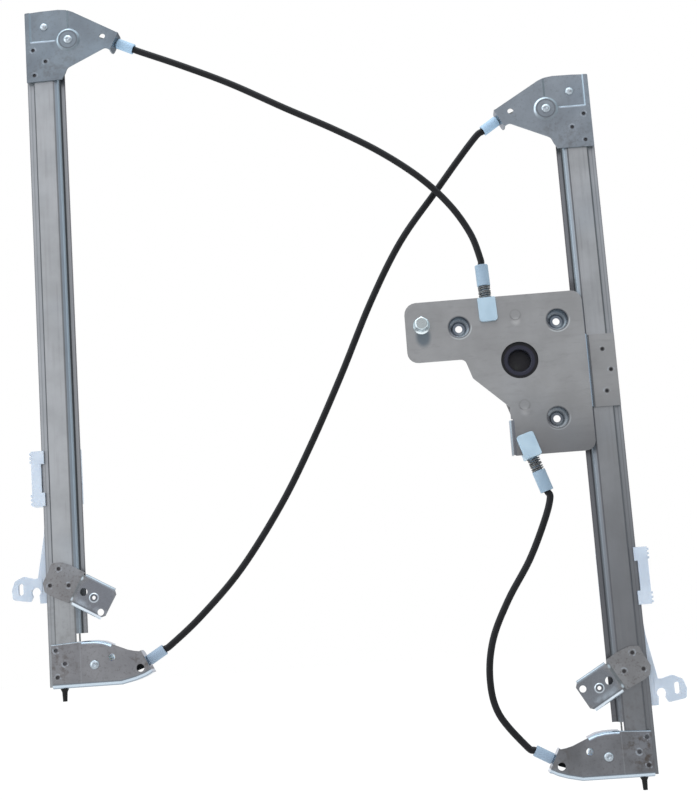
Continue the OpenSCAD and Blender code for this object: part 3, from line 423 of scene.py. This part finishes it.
def low_finish(side):
    """A bottom bracket: greasy sheet, with painted highlights and painted shade on the roll along its lower
    edge, which rises inward, and a painted reflection on its top bend.
    """
    colour, dark = {
        "left": ((0.235, 0.238, 0.25), (0.185, 0.187, 0.198)),
        "right": ((0.18, 0.184, 0.198), (0.12, 0.122, 0.13)),
    }[side]
    f = Sheet(side + "_bottom_bracket_zinc", colour, dark, lines=(0.05, 1, 0.4), roughness=0.36, relief=0.02)
    u, up = f.inward(side), f.axis("Z") / MM - FOOT[side]
    f.speckle(0.4, (0.09, 0.085, 0.085))
    f.grease(rail_point(side, -6, -1, 20), 24, 0.5 if side == "left" else 0.8)
    f.grease(rail_point(side, PULLEY_U + 40, -1, 17), 14, 0.6, shift=(2, 5, 1))
    # A faint painted highlight along a step
    f.lay(u.over(10.2, 10.9) * u.over(11.8, 11.0), (0.42, 0.44, 0.47), 0.14)
    roll = up + 1.5
    for bend_u, rise in ((43.8, 0.217), (55.3, 0.11), (62.8, 0.16)):
        roll = roll - (u - bend_u).math("MAXIMUM", 0.0) * rise
    depth = f.axis("Y") / MM - WEB_Y
    # Painted reflection on the roll: painted shade along its upper edge, a painted highlight along its middle
    # and painted shade at its lower edge
    f.lay(roll.over(4.4, 3.6), (0.13, 0.155, 0.185), 0.6)
    f.lay(roll.over(3.3, 2.6), (0.60, 0.69, 0.78), 0.85)
    f.lay(roll.over(1.3, 0.7), (0.20, 0.24, 0.29), 0.8)
    f.polish(roll.over(4.0, 3.2), 0.55)
    # Painted bluish reflection on the top bend
    bend = depth.over(-1.4, -0.8) * up.over(10.0, 14.0)
    f.lay(bend, (0.33, 0.40, 0.48), 0.8)
    f.polish(bend, 0.5)
    f.clinches(side, "low")
    return f.done()


def side_finish(side):
    """The bracket's web leaf is dull and speckled, its outer leaf cleaner, with painted shade over it and
    painted highlights on its rims, fold ends and dimple.
    """
    colour, dark = (0.26, 0.265, 0.275), (0.19, 0.19, 0.195)
    f = Sheet(side + "_side_bracket_zinc", colour, dark, lines=(0.4, 1, 0.4), relief=0.02)
    f.speckle(0.6, (0.10, 0.09, 0.085), 0.5)
    leaf = f.spot(leaf_point(side, 18, -4, 0), 13, 19)
    # Painted shade over the outer leaf, deepest in its middle
    f.lay(leaf, (0.16, 0.175, 0.20), 0.75)
    u, z = f.inward(side) - FOLD_U, f.axis("Z") / MM - (FOOT[side] + FOLD_Z)
    along = u * math.sin(LEAF_TURN) + z * math.cos(LEAF_TURN)
    beyond_fold = (u * math.cos(LEAF_TURN) - z * math.sin(LEAF_TURN)).over(2.4, 3.4)
    cloud = f.noise(0.09, 3, 0.6, shift=(1, 1, 5)).over(0.4, 0.65)
    # Painted highlights: patchy on the leaf's lower part and bright along its lower rim with a painted shade
    # line above it, and paler painted light on its upper rim
    f.lay(leaf * along.over(-4.0, -9.0) * cloud, (0.40, 0.46, 0.52), 0.6)
    f.lay(beyond_fold * along.over(-9.9, -10.6), (0.10, 0.115, 0.13), 0.6)
    f.lay(beyond_fold * along.over(-11.2, -11.8), (0.72, 0.79, 0.86), 0.9)
    f.lay(beyond_fold * along.over(11.3, 12.0), (0.30, 0.35, 0.40), 0.7)
    f.polish(leaf, 0.4)
    # Painted highlights at both ends of the fold
    for fold_end in (-9.5, 9.0):
        f.lay(f.spot(leaf_point(side, 1.4, -3, fold_end), 0.8, 2.4), (0.66, 0.72, 0.78), 0.8)
    dimple = leaf_point(side, 17.4, -5.5, -0.5)
    # Painted highlight round the dimple's rim, painted shade inside it
    f.lay(f.ring(dimple, 3.7, 0.9), (0.60, 0.66, 0.72), 0.75)
    f.lay(f.ring(dimple, 2.3, 0.8), (0.06, 0.065, 0.075), 0.7)
    f.clinches(side, "side")
    return f.done()


def plate_finish():
    """The motor plate: shining dishes and folds with painted shade and painted highlights, painted shade
    round its bosses with painted highlights below them, painted shade towards the bottom and the bolt's
    painted shade.
    """
    f = Sheet("plate_zinc", (0.315, 0.32, 0.325), (0.275, 0.28, 0.283), lines=(0.05, 1, 0.3), roughness=0.42)
    x, z = f.axis("X") / MM, f.axis("Z") / MM
    for dish_x, dish_z in DISHES:
        # Painted shade in each dish, a painted highlight on its lower right, painted shade round its edge and
        # a painted highlight on its lower rim
        pressed = f.spot(place(dish_x, 4, dish_z), 9.2, 10.0)
        f.lay(pressed, (0.13, 0.17, 0.215), 0.8)
        f.polish(pressed, 0.5)
        rim, down_right = place(dish_x, 0, dish_z), (x - dish_x) * 0.5 - (z - dish_z)
        f.lay(pressed * down_right.over(3.5, 7.0), (0.38, 0.47, 0.52), 0.8)
        f.lay(f.ring(rim, 9.0, 0.9), (0.05, 0.055, 0.065), 0.6)
        f.lay(f.ring(rim, 10.1, 0.8) * down_right.over(2.0, 7.0), (0.55, 0.60, 0.62), 0.7)
    for boss_x, boss_z in BOSSES:
        # Painted shade round each boss and a painted highlight below it
        f.lay(f.ring(place(boss_x, 0, boss_z), 4.2, 1.0), (0.20, 0.20, 0.205), 0.4)
        f.lay(f.spot(place(boss_x, 0, boss_z - 5.5), 1.0, 5.0), (0.50, 0.505, 0.51), 0.5)
    drawn = f.noise(0.22, 4, 0.7, stretch=(0.3, 1, 1), shift=(7, 2, 2))
    f.lay(drawn.over(0.5, 0.72), (0.22, 0.222, 0.226), 0.35)
    # Painted bluish reflection on the lower left fold, with a painted highlight along its edge
    low_left = x.over(-8.6, -9.4) * z.over(-48.0, -49.5)
    f.lay(low_left, (0.15, 0.185, 0.23), 0.75)
    f.lay(x.over(-11.8, -12.6) * z.over(-48.0, -49.5), (0.50, 0.58, 0.66), 0.7)
    # Painted bluish reflection on the joggle, and its painted shadow just beyond it
    joggle = x.over(54.9, 55.5) * x.over(57.9, 57.3)
    f.lay(joggle, (0.24, 0.29, 0.37), 0.8)
    f.polish(low_left.math("MAXIMUM", joggle), 0.45)
    f.lay(x.over(57.6, 58.0) * x.over(59.2, 58.4), (0.07, 0.07, 0.075), 0.7)
    # Painted shade towards the bottom
    f.lay(z.over(-20.0, -85.0), (0.125, 0.127, 0.133), 0.75)
    # The bolt's painted shade round it
    bolt_x, bolt_z = x - BOLT_X, z - BOLT_Z
    far = (bolt_x * bolt_x / 52.0 + bolt_z * bolt_z / 95.0).math("SQRT")
    f.lay(far.over(1.1, 0.5), (0.09, 0.125, 0.155), 0.75)
    for tab_x, tab_z in TAB_CLINCHES:
        f.clinch(place(RAIL_X["right"] + tab_x, 5.5, tab_z), (0.01, 0.01, 0.012))
    return f.done()


def bolt_finish():
    """Plated bolt: a dull stamped disc on the head, clean facets, and painted shade on the flange with a
    painted highlight on its lip.
    """
    f = Sheet("bolt_zinc", (0.66, 0.74, 0.78), (0.46, 0.52, 0.56), lines=(1, 1, 1), roughness=0.26)
    x, y, z = (f.axis(a) / MM for a in "XYZ")
    f.lay(y.over(-11.7, -11.95), (0.33, 0.37, 0.365), 0.75)
    # Painted shade on the flange, with a painted highlight on its lower lip
    flange = y.over(-2.6, -2.0)
    f.lay(flange, (0.16, 0.18, 0.19), 0.7)
    f.lay(flange * z.over(31.5, 29.5), (0.85, 0.92, 0.95), 0.9)
    return f.done()


def drum_finish():
    """Dark moulded rings round the motor's socket, painted shade round the rim and a lighter patch on the
    socket's floor.
    """
    f = Finish("drum_plastic", Specular_IOR_Level=0.35, IOR=1.5)
    x, z = f.axis("X") / MM, f.axis("Z") / MM
    away = (x * x + z * z).math("SQRT")
    dust = f.noise(0.25, 3, 0.6)
    paint = f.mix(away.over(9.0, 9.8), rgba(0.007, 0.0075, 0.012), rgba(0.011, 0.0115, 0.024))
    # Painted shade round the rim, behind the edge of the plate's hole
    paint = f.mix(away.over(12.4, 13.2), paint, rgba(0.004, 0.0045, 0.007))
    # A lighter patch on the socket's floor, patchy with the noise
    floor = f.spot(place(-2.5, 12, -3.5), 1.0, 6.0)
    paint = f.mix(floor * dust.over(0.3, 0.7) * 0.8, paint, rgba(0.034, 0.038, 0.036))
    f.set(Base_Color=paint, Roughness=dust * 0.2 + 0.34)
    f.bump(dust, 0.01)
    return f


PLATE = plate_finish()
BRIGHT = plain_metal("bright_zinc_plate", (0.50, 0.56, 0.61), (0.34, 0.38, 0.42), 0.26)
WIRE_STEEL = plain_metal("wire_steel", (0.42, 0.42, 0.42), (0.22, 0.215, 0.21), 0.3, 1.5)
SPRING_STEEL = plain_metal("spring_wire", (0.20, 0.205, 0.21), (0.10, 0.10, 0.10), 0.3, 1.2)
BLOCK_NYLON = moulded("block_nylon", (0.34, 0.436, 0.513), (0.30, 0.39, 0.465), 0.42, 0.25)
SLEEVE_NYLON = moulded("sleeve_nylon", (0.225, 0.30, 0.38), (0.20, 0.27, 0.345), 0.42, 0.1)
FERRULE_NYLON = moulded("ferrule_nylon", (0.31, 0.43, 0.555), (0.27, 0.385, 0.51), 0.42)
# A darker copy of the ferrule nylon: painted shade for the bottom ferrules
SHADED_FERRULE_NYLON = moulded("shaded_ferrule_nylon", (0.225, 0.29, 0.37), (0.20, 0.26, 0.34), 0.42)
PULLEY_NYLON = moulded("pulley_nylon", (0.85, 0.88, 0.90), (0.78, 0.82, 0.86), 0.45, 0.4)
CLEAR_NYLON = moulded("clear_nylon", (0.455, 0.50, 0.57), (0.40, 0.445, 0.515), 0.38, 0.4)
SHEATH = moulded("black_sheath", (0.006, 0.006, 0.008), (0.004, 0.004, 0.005), 0.45, specular=0.2)
DARK = moulded("dark_plastic", (0.030, 0.031, 0.034), (0.022, 0.023, 0.026), 0.5)
BOLT = bolt_finish()
DRUM = drum_finish()
RUBBER = moulded("black_rubber", (0.010, 0.010, 0.011), (0.006, 0.006, 0.006), 0.6, specular=0.25)


# Faces within FLAT of each other are one face, and edges sharper than a crease stay sharp
FLAT, CREASE, SOFT_CREASE = math.radians(0.5), math.radians(30), math.radians(40)


def alone(*pieces):
    """Selects these objects and nothing else, and makes the first one active."""
    bpy.ops.object.select_all(action="DESELECT")
    for piece in pieces:
        piece.select_set(True)
    bpy.context.view_layer.objects.active = pieces[0]


def applied(piece, kind, **settings):
    alone(piece)
    modifier = piece.modifiers.new(kind.lower(), kind)
    for name, value in settings.items():
        setattr(modifier, name, value)
    bpy.ops.object.modifier_apply(modifier=modifier.name)


def painted(piece, finish):
    piece.data.materials.clear()
    piece.data.materials.append(finish.material)


def stands_for(piece, node, finish):
    """The piece takes a node's place, its finish's slot and its body."""
    painted(piece, finish)
    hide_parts(node)
    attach(piece, BODY_OF[node])
    return piece


def dressed(node, finish, edge=0.2, segments=2, gap=0.002, cut=False):
    """A copy of a node with clean faces, smooth curves and a rounded edge of edge millimetres.

    Points closer than gap millimetres are joined, and cut divides the flat faces into triangles.
    """
    piece = bpy.data.objects.new(node + "_finished", NODES[node].data.copy())
    bpy.context.scene.collection.objects.link(piece)
    alone(piece)
    bpy.ops.object.mode_set(mode="EDIT")
    bpy.ops.mesh.select_all(action="SELECT")
    bpy.ops.mesh.remove_doubles(threshold=gap * MM)
    bpy.ops.mesh.dissolve_limited(angle_limit=FLAT)
    if cut:
        bpy.ops.mesh.quads_convert_to_tris(quad_method="BEAUTY", ngon_method="BEAUTY")
    bpy.ops.object.mode_set(mode="OBJECT")
    bpy.ops.object.shade_smooth_by_angle(angle=CREASE)
    applied(
        piece, "BEVEL", width=edge * MM, segments=segments, limit_method="ANGLE", angle_limit=CREASE,
        harden_normals=True, use_clamp_overlap=True,
    )
    applied(piece, "WEIGHTED_NORMAL", mode="FACE_AREA", keep_sharp=True, weight=50)
    return stands_for(piece, node, finish)


def smooth(points, steps=8):
    """A smooth curve through given points, with so many steps from one to the next."""
    out = []
    for i in range(len(points) - 1):
        b, c = points[i], points[i + 1]
        a = points[i - 1] if i else 2 * b - c
        d = points[i + 2] if i + 2 < len(points) else 2 * c - b
        square, cube = 2 * a - 5 * b + 4 * c - d, 3 * b - a - 3 * c + d
        for t in (k / steps for k in range(steps)):
            out.append((2 * b + (c - a) * t + square * t * t + cube * t**3) / 2)
    return out + [points[-1]]


def strand(name, points, radius, sides=3):
    """A round cord along points, as a curve with one spline."""
    data = bpy.data.curves.new(name, "CURVE")
    data.dimensions = "3D"
    data.use_fill_caps = True
    data.bevel_resolution = sides
    data.bevel_depth = radius * MM
    spline = data.splines.new("POLY")
    spline.points.add(len(points) - 1)
    for i, p in enumerate(points):
        spline.points[i].co = (*p, 1)
    spline.use_smooth = True
    piece = bpy.data.objects.new(name, data)
    bpy.context.scene.collection.objects.link(piece)
    return piece


def wall_end(side, at, tilt):
    """Three points of a conduit's straight end in a bracket's ferrule."""
    lengths = (CONDUIT_SEAT, FERRULE_LENGTH, FERRULE_LENGTH + FERRULE_STRAIGHT)
    return [cable_point(side, at, s, -tilt) for s in lengths]


def sleeve_end(which):
    """Three points of a conduit's straight end in a sleeve."""
    mouth = FEED_START[which] + BLOCK_LENGTH + SPRING_LENGTH + SLEEVE_LENGTH
    return [feed_point(which, mouth + s) for s in (-SLEEVE_SEAT, 0, SLEEVE_STRAIGHT)]


def route(points):
    return [place(*p) for p in points]


UPPER_ROUTE = route([
    (-268, 15, 286), (-226, 14, 265), (-180, 12, 238), (-138, 10, 214), (-101, 8, 190), (-69, 7, 164),
    (-46, 7, 138), (-31, 7, 112),
])
CROSS_ROUTE = route([
    (-277, 16, -189), (-242, 17, -153), (-206, 18, -103), (-178, 18, -55), (-149, 18, 1), (-119, 18, 63),
    (-90, 18, 113), (-57, 18, 154), (-34, 17, 182),
])
LOWER_ROUTE = route([
    (9, 9, -132), (-6, 9, -163), (-26, 10, -194), (-41, 11, -225), (-46, 13, -256), (-41, 15, -284),
])


def conduit(node, points):
    piece = strand(node + "_sheath", points, CONDUIT_R, 5)
    length = sum((b - a).length for a, b in zip(points, points[1:]))
    stands_for(piece, node, SHEATH)


conduit("upper_conduit", smooth(
    wall_end("left", TOP_EXIT, LEFT_TOP_TILT) + UPPER_ROUTE + sleeve_end("upper")[::-1]
))
conduit("cross_conduit", smooth(
    wall_end("left", LOW_EXIT, LEFT_LOW_TILT) + CROSS_ROUTE
    + wall_end("right", TOP_EXIT, RIGHT_TOP_TILT)[::-1]
))
conduit("lower_conduit", smooth(
    sleeve_end("lower") + LOWER_ROUTE + wall_end("right", LOW_EXIT, RIGHT_LOW_TILT)[::-1]
))


def turned_to_mesh(piece):
    alone(piece)
    bpy.ops.object.convert(target="MESH")
    return bpy.context.object


def coil(which):
    """A tension spring: open turns between closer ends."""
    turn = FEED_TURN[which]
    way = Vector((math.sin(turn), 0, math.cos(turn)))
    aside = Vector((math.cos(turn), 0, -math.sin(turn)))
    middle = feed_point(which, FEED_START[which] + BLOCK_LENGTH)
    per_turn, crowding = 24, 0.045
    steps = SPRING_TURNS * per_turn
    points = []
    for i in range(steps + 1):
        share = i / steps
        eased = share - crowding * math.sin(4 * math.pi * share) * (1 - abs(2 * share - 1))
        s = WIRE_R + (SPRING_LENGTH - 2 * WIRE_R) * eased
        a = 2 * math.pi * i / per_turn
        out = aside * math.cos(a) + Vector((0, 1, 0)) * math.sin(a)
        points.append(middle + way * s * MM + out * SPRING_R * MM)
    piece = turned_to_mesh(strand(which + "_coil", points, WIRE_R, 4))
    stands_for(piece, which + "_spring", SPRING_STEEL)
    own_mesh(piece)


def laid_cable(node, runs):
    """Stranded cable: six wires laid round a core along each run, all in planes of constant y."""
    wire, core = CABLE_R / 3, CABLE_R / 3 + 0.05
    pieces = []
    for number, points in enumerate(runs):
        gone = [0.0]
        for a, b in zip(points, points[1:]):
            gone.append(gone[-1] + (b - a).length)
        closed = (points[0] - points[-1]).length < 0.1 * MM
        turns = gone[-1] / (CABLE_LAY * MM)
        turns = round(turns) if closed else turns
        sides = []
        for i in range(len(points)):
            ahead = points[min(i + 1, len(points) - 1)] - points[max(i - 1, 0)]
            if closed and i in (0, len(points) - 1):
                ahead = points[1] - points[-2]
            sides.append(Vector((-ahead.z, 0, ahead.x)).normalized())
        pieces.append(strand(f"{node}_core{number}", points, core, 1))
        for k in range(CABLE_WIRES):
            around = []
            for p, side, run in zip(points, sides, gone):
                a = 2 * math.pi * (k / CABLE_WIRES + turns * run / gone[-1])
                around.append(p + (side * math.cos(a) + Vector((0, 1, 0)) * math.sin(a)) * 2 * wire * MM)
            pieces.append(strand(f"{node}_wire{number}_{k}", around, wire, 1))
    alone(*pieces)
    bpy.ops.object.join()
    piece = turned_to_mesh(bpy.context.object)
    piece.name = node + "_laid"
    return stands_for(piece, node, WIRE_STEEL)


def spaced(corners):
    """Points about one cable step apart along a polyline."""
    out = []
    for a, b in zip(corners, corners[1:]):
        n = max(1, math.ceil((b - a).length / (CABLE_STEP * MM)))
        out += [a + (b - a) * k / n for k in range(n)]
    return out + [corners[-1]]


def arc(side, at, start, end, steps=24):
    """The cable round a pulley, from one angle in degrees to another."""
    return [cable_point(side, at, PULLEY_R, start + (end - start) * k / steps) for k in range(steps + 1)]


def slope(at, out, sense):
    """The angle of the tangent from a pulley to a bracket's exit, above it or below it."""
    du, dz = out[0] - at[0], out[1] - at[1]
    return math.degrees(math.atan2(dz, du) - sense * math.asin(PULLEY_R / math.hypot(du, dz)))


LOW_SLOPE, TOP_SLOPE = slope(LOW_PULLEY, LOW_EXIT, -1), slope(TOP_PULLEY, TOP_EXIT, 1)


def rail_run(side):
    """The cable from the low exit round both pulleys to the top exit."""
    low_end = cable_point(side, LOW_EXIT, CABLE_END, LOW_SLOPE)
    top_end = cable_point(side, TOP_EXIT, CABLE_END, TOP_SLOPE)
    low_arc, top_arc = arc(side, LOW_PULLEY, 270 + LOW_SLOPE, 180), arc(side, TOP_PULLEY, 180, 90 + TOP_SLOPE)
    return spaced([low_end] + low_arc + top_arc + [top_end])


def drum_turn(y, steps=108):
    """A closed turn of cable on the drum."""
    angles = (2 * math.pi * k / steps for k in range(steps + 1))
    return [place(DRUM_R * math.cos(a), y, DRUM_R * math.sin(a)) for a in angles]


def feed_run(which):
    """The cable from the drum through its block and spring into the sleeve."""
    last = FEED_START[which] + BLOCK_LENGTH + SPRING_LENGTH + FEED_IN_SLEEVE
    return spaced([feed_point(which, s) for s in (FEED_FIRST, last)])


for side in ("left", "right"):
    laid_cable(f"{side}_rail_cable", [rail_run(side)])
laid_cable("drum_cable", [drum_turn(y) for y in TURNS_Y])
laid_cable("feed_cables", [feed_run(which) for which in ("upper", "lower")])
for which in ("upper", "lower"):
    coil(which)


def smoothed(piece):
    alone(piece)
    bpy.ops.object.shade_smooth_by_angle(angle=SOFT_CREASE)


def cut_out(piece, tool):
    """Takes the tool's form out of the piece."""
    applied(piece, "BOOLEAN", object=tool, operation="DIFFERENCE", solver="EXACT")
    bpy.data.objects.remove(tool)


def dark_sleeve(side):
    """The black rubber sleeve round the cable inside the bracket, behind a low conduit's exit hole, which
    darkens the view through that hole.
    """
    ends = [cable_point(side, LOW_EXIT, -s, LOW_SLOPE) for s in DARK_SLEEVE_SPAN]
    way = ends[1] - ends[0]
    round_solid = {
        "vertices": 40, "location": (ends[0] + ends[1]) / 2,
        "rotation": way.to_track_quat("Z", "Y").to_euler(),
    }
    bpy.ops.object.select_all(action="DESELECT")
    bpy.ops.mesh.primitive_cylinder_add(radius=DARK_SLEEVE_R * MM, depth=way.length, **round_solid)
    piece = bpy.context.object
    piece.name = side + "_dark_cable_sleeve"
    bpy.ops.object.transform_apply(location=True, rotation=True, scale=True)
    bpy.ops.mesh.primitive_cylinder_add(radius=DARK_SLEEVE_BORE_R * MM, depth=way.length * 2, **round_solid)
    cut_out(piece, bpy.context.object)
    applied(piece, "BEVEL", width=0.7 * MM, segments=3, limit_method="ANGLE", angle_limit=SOFT_CREASE)
    smoothed(piece)
    painted(piece, RUBBER)
    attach(piece, "frame")


def dimpled(piece, point):
    """Presses a round dimple into a rivet's head, towards the door."""
    bpy.ops.object.select_all(action="DESELECT")
    middle = point - place(0, DIMPLE_R - DIMPLE_DEPTH, 0)
    bpy.ops.mesh.primitive_uv_sphere_add(segments=32, ring_count=16, radius=DIMPLE_R * MM, location=middle)
    cut_out(piece, bpy.context.object)
    smoothed(piece)


# Finishes on the solids
for side in ("left", "right"):
    dressed(f"{side}_rail", rail_finish(side), 0.12)
    dressed(f"{side}_top_bracket", top_finish(side), 0.25)
    dressed(f"{side}_bottom_bracket", low_finish(side), 0.2, gap=0.03, cut=True)
    dressed(f"{side}_side_bracket", side_finish(side), 0.2, cut=True)
    for name, z, pad in (("top_axle", TOP_PULLEY_Z, TOP_PAD), ("bottom_axle", LOW_PULLEY_Z, LOW_PAD)):
        rivet = dressed(f"{side}_{name}", BRIGHT, 0.15)
        dimpled(rivet, rail_point(side, PULLEY_U, -(pad + RIVET_HEAD), z))
    dressed(f"{side}_top_stud", BRIGHT, 0.5, segments=3)
    for name in ("top_pulley", "bottom_pulley"):
        dressed(f"{side}_{name}", PULLEY_NYLON, 0.2)
    dressed(f"{side}_top_ferrule", FERRULE_NYLON, 0.4)
    dressed(f"{side}_bottom_ferrule", SHADED_FERRULE_NYLON, 0.4)
    dressed(f"{side}_bumper", RUBBER, 0.2)
    dark_sleeve(side)
    dressed(f"{side}_carrier", CLEAR_NYLON, 0.35, cut=True)
    dressed(f"{side}_nipples", WIRE_STEEL, 0.2)
dressed("motor_plate", PLATE, 0.25)
dressed("plate_bolt", BOLT, 0.25)
dressed("drum_housing", DARK, 0.3)
dressed("cable_drum", DRUM, 0.25)
for which in ("upper", "lower"):
    dressed(f"{which}_guide_block", BLOCK_NYLON, 0.6, segments=3)
    dressed(f"{which}_sleeve", SLEEVE_NYLON, 0.4, segments=3)


def ground():
    """A white floor below the part, which the camera and reflections see nearly unshaded."""
    bpy.ops.object.select_all(action="DESELECT")
    bpy.ops.mesh.primitive_plane_add(size=9, location=(0, 0, cad_box[0].z - 0.03))
    floor = bpy.context.object
    floor.name = "floor"
    paper = Finish("white_ground", Base_Color=rgba(0.86, 0.86, 0.86), Roughness=0.9)
    rays = paper.node("LightPath", output="Is Camera Ray")
    shine = paper.node("LightPath", output="Is Glossy Ray")
    glow = paper.node("Emission", inputs={"Color": rgba(1, 1, 1), "Strength": 1.0})
    out = paper.tree.nodes["Material Output"]
    lit = Wire(paper, paper.shader.outputs[0])
    shown = paper.node("MixShader", inputs={0: rays * 0.9 + shine * 0.8, 1: lit, 2: glow})
    paper.tree.links.new(shown.socket, out.inputs["Surface"])
    painted(floor, paper)


def sky():
    """White where the camera looks; for the light, brighter above, to the left and all round the rim."""
    world = bpy.data.worlds.new("studio")
    bpy.context.scene.world = world
    world.use_nodes = True
    nodes, links = world.node_tree.nodes, world.node_tree.links
    nodes.clear()

    def add(kind, inputs=(), output=0, **settings):
        made = nodes.new("ShaderNode" + kind)
        for name, value in settings.items():
            setattr(made, name, value)
        for key, value in enumerate(inputs):
            if isinstance(value, bpy.types.NodeSocket):
                links.new(value, made.inputs[key])
            elif value is not None:
                made.inputs[key].default_value = value
        return made.outputs[output]

    def eased(value, low, high, first, second):
        return add("MapRange", [value, low, high, first, second], interpolation_type="SMOOTHSTEP")

    way = add("TexCoord", output="Generated")
    lean = add("VectorMath", [way, (-1.0, 0.0, 1.0)], "Value", operation="DOT_PRODUCT")
    ahead = add("VectorMath", [way, (0.0, 1.0, 0.0)], "Value", operation="DOT_PRODUCT")
    ahead = add("Math", [ahead], operation="ABSOLUTE")
    rim = eased(ahead, 0.85, 0.25, 0.0, 1.0)
    level = add("Math", [rim, 1.1, eased(lean, -0.3, 0.2, 0.3, 1.0)], operation="MULTIPLY_ADD")
    camera = add("LightPath", output="Is Camera Ray")
    strength = add("Mix", [camera, None, level, 1.0], data_type="FLOAT")
    back = nodes.new("ShaderNodeBackground")
    tint = add("MapRange", [rim, 0.0, 1.0, 1.0, 0.86])
    colour = add("CombineColor", [tint, 0.97, 1.0])
    colour = add("Mix", [camera, *[None] * 5, colour, (1, 1, 1, 1)], 2, data_type="RGBA")
    links.new(colour, back.inputs["Color"])
    links.new(strength, back.inputs["Strength"])
    out = nodes.new("ShaderNodeOutputWorld")
    links.new(back.outputs[0], out.inputs[0])


def softbox(name, at, aim, size, watts, colour=(1, 1, 1)):
    """A flat rectangular lamp that looks at a point."""
    data = bpy.data.lights.new(name, "AREA")
    data.shape = "RECTANGLE"
    data.size, data.size_y = size
    data.energy = watts
    data.color = colour
    lamp = bpy.data.objects.new(name, data)
    bpy.context.scene.collection.objects.link(lamp)
    lamp.location = at
    lamp.rotation_mode = "QUATERNION"
    lamp.rotation_quaternion = (Vector(aim) - Vector(at)).to_track_quat("-Z", "Y")


ground()
sky()
softbox("top_light", (-0.4, -0.5, 1.5), (-0.16, 0, 0), (1.6, 1.0), 9, (0.94, 0.97, 1.0))
softbox("left_light", (-1.5, -0.9, 0.3), (-0.16, 0, 0), (0.8, 1.2), 4)
bpy.context.scene.view_settings.view_transform = "Standard"
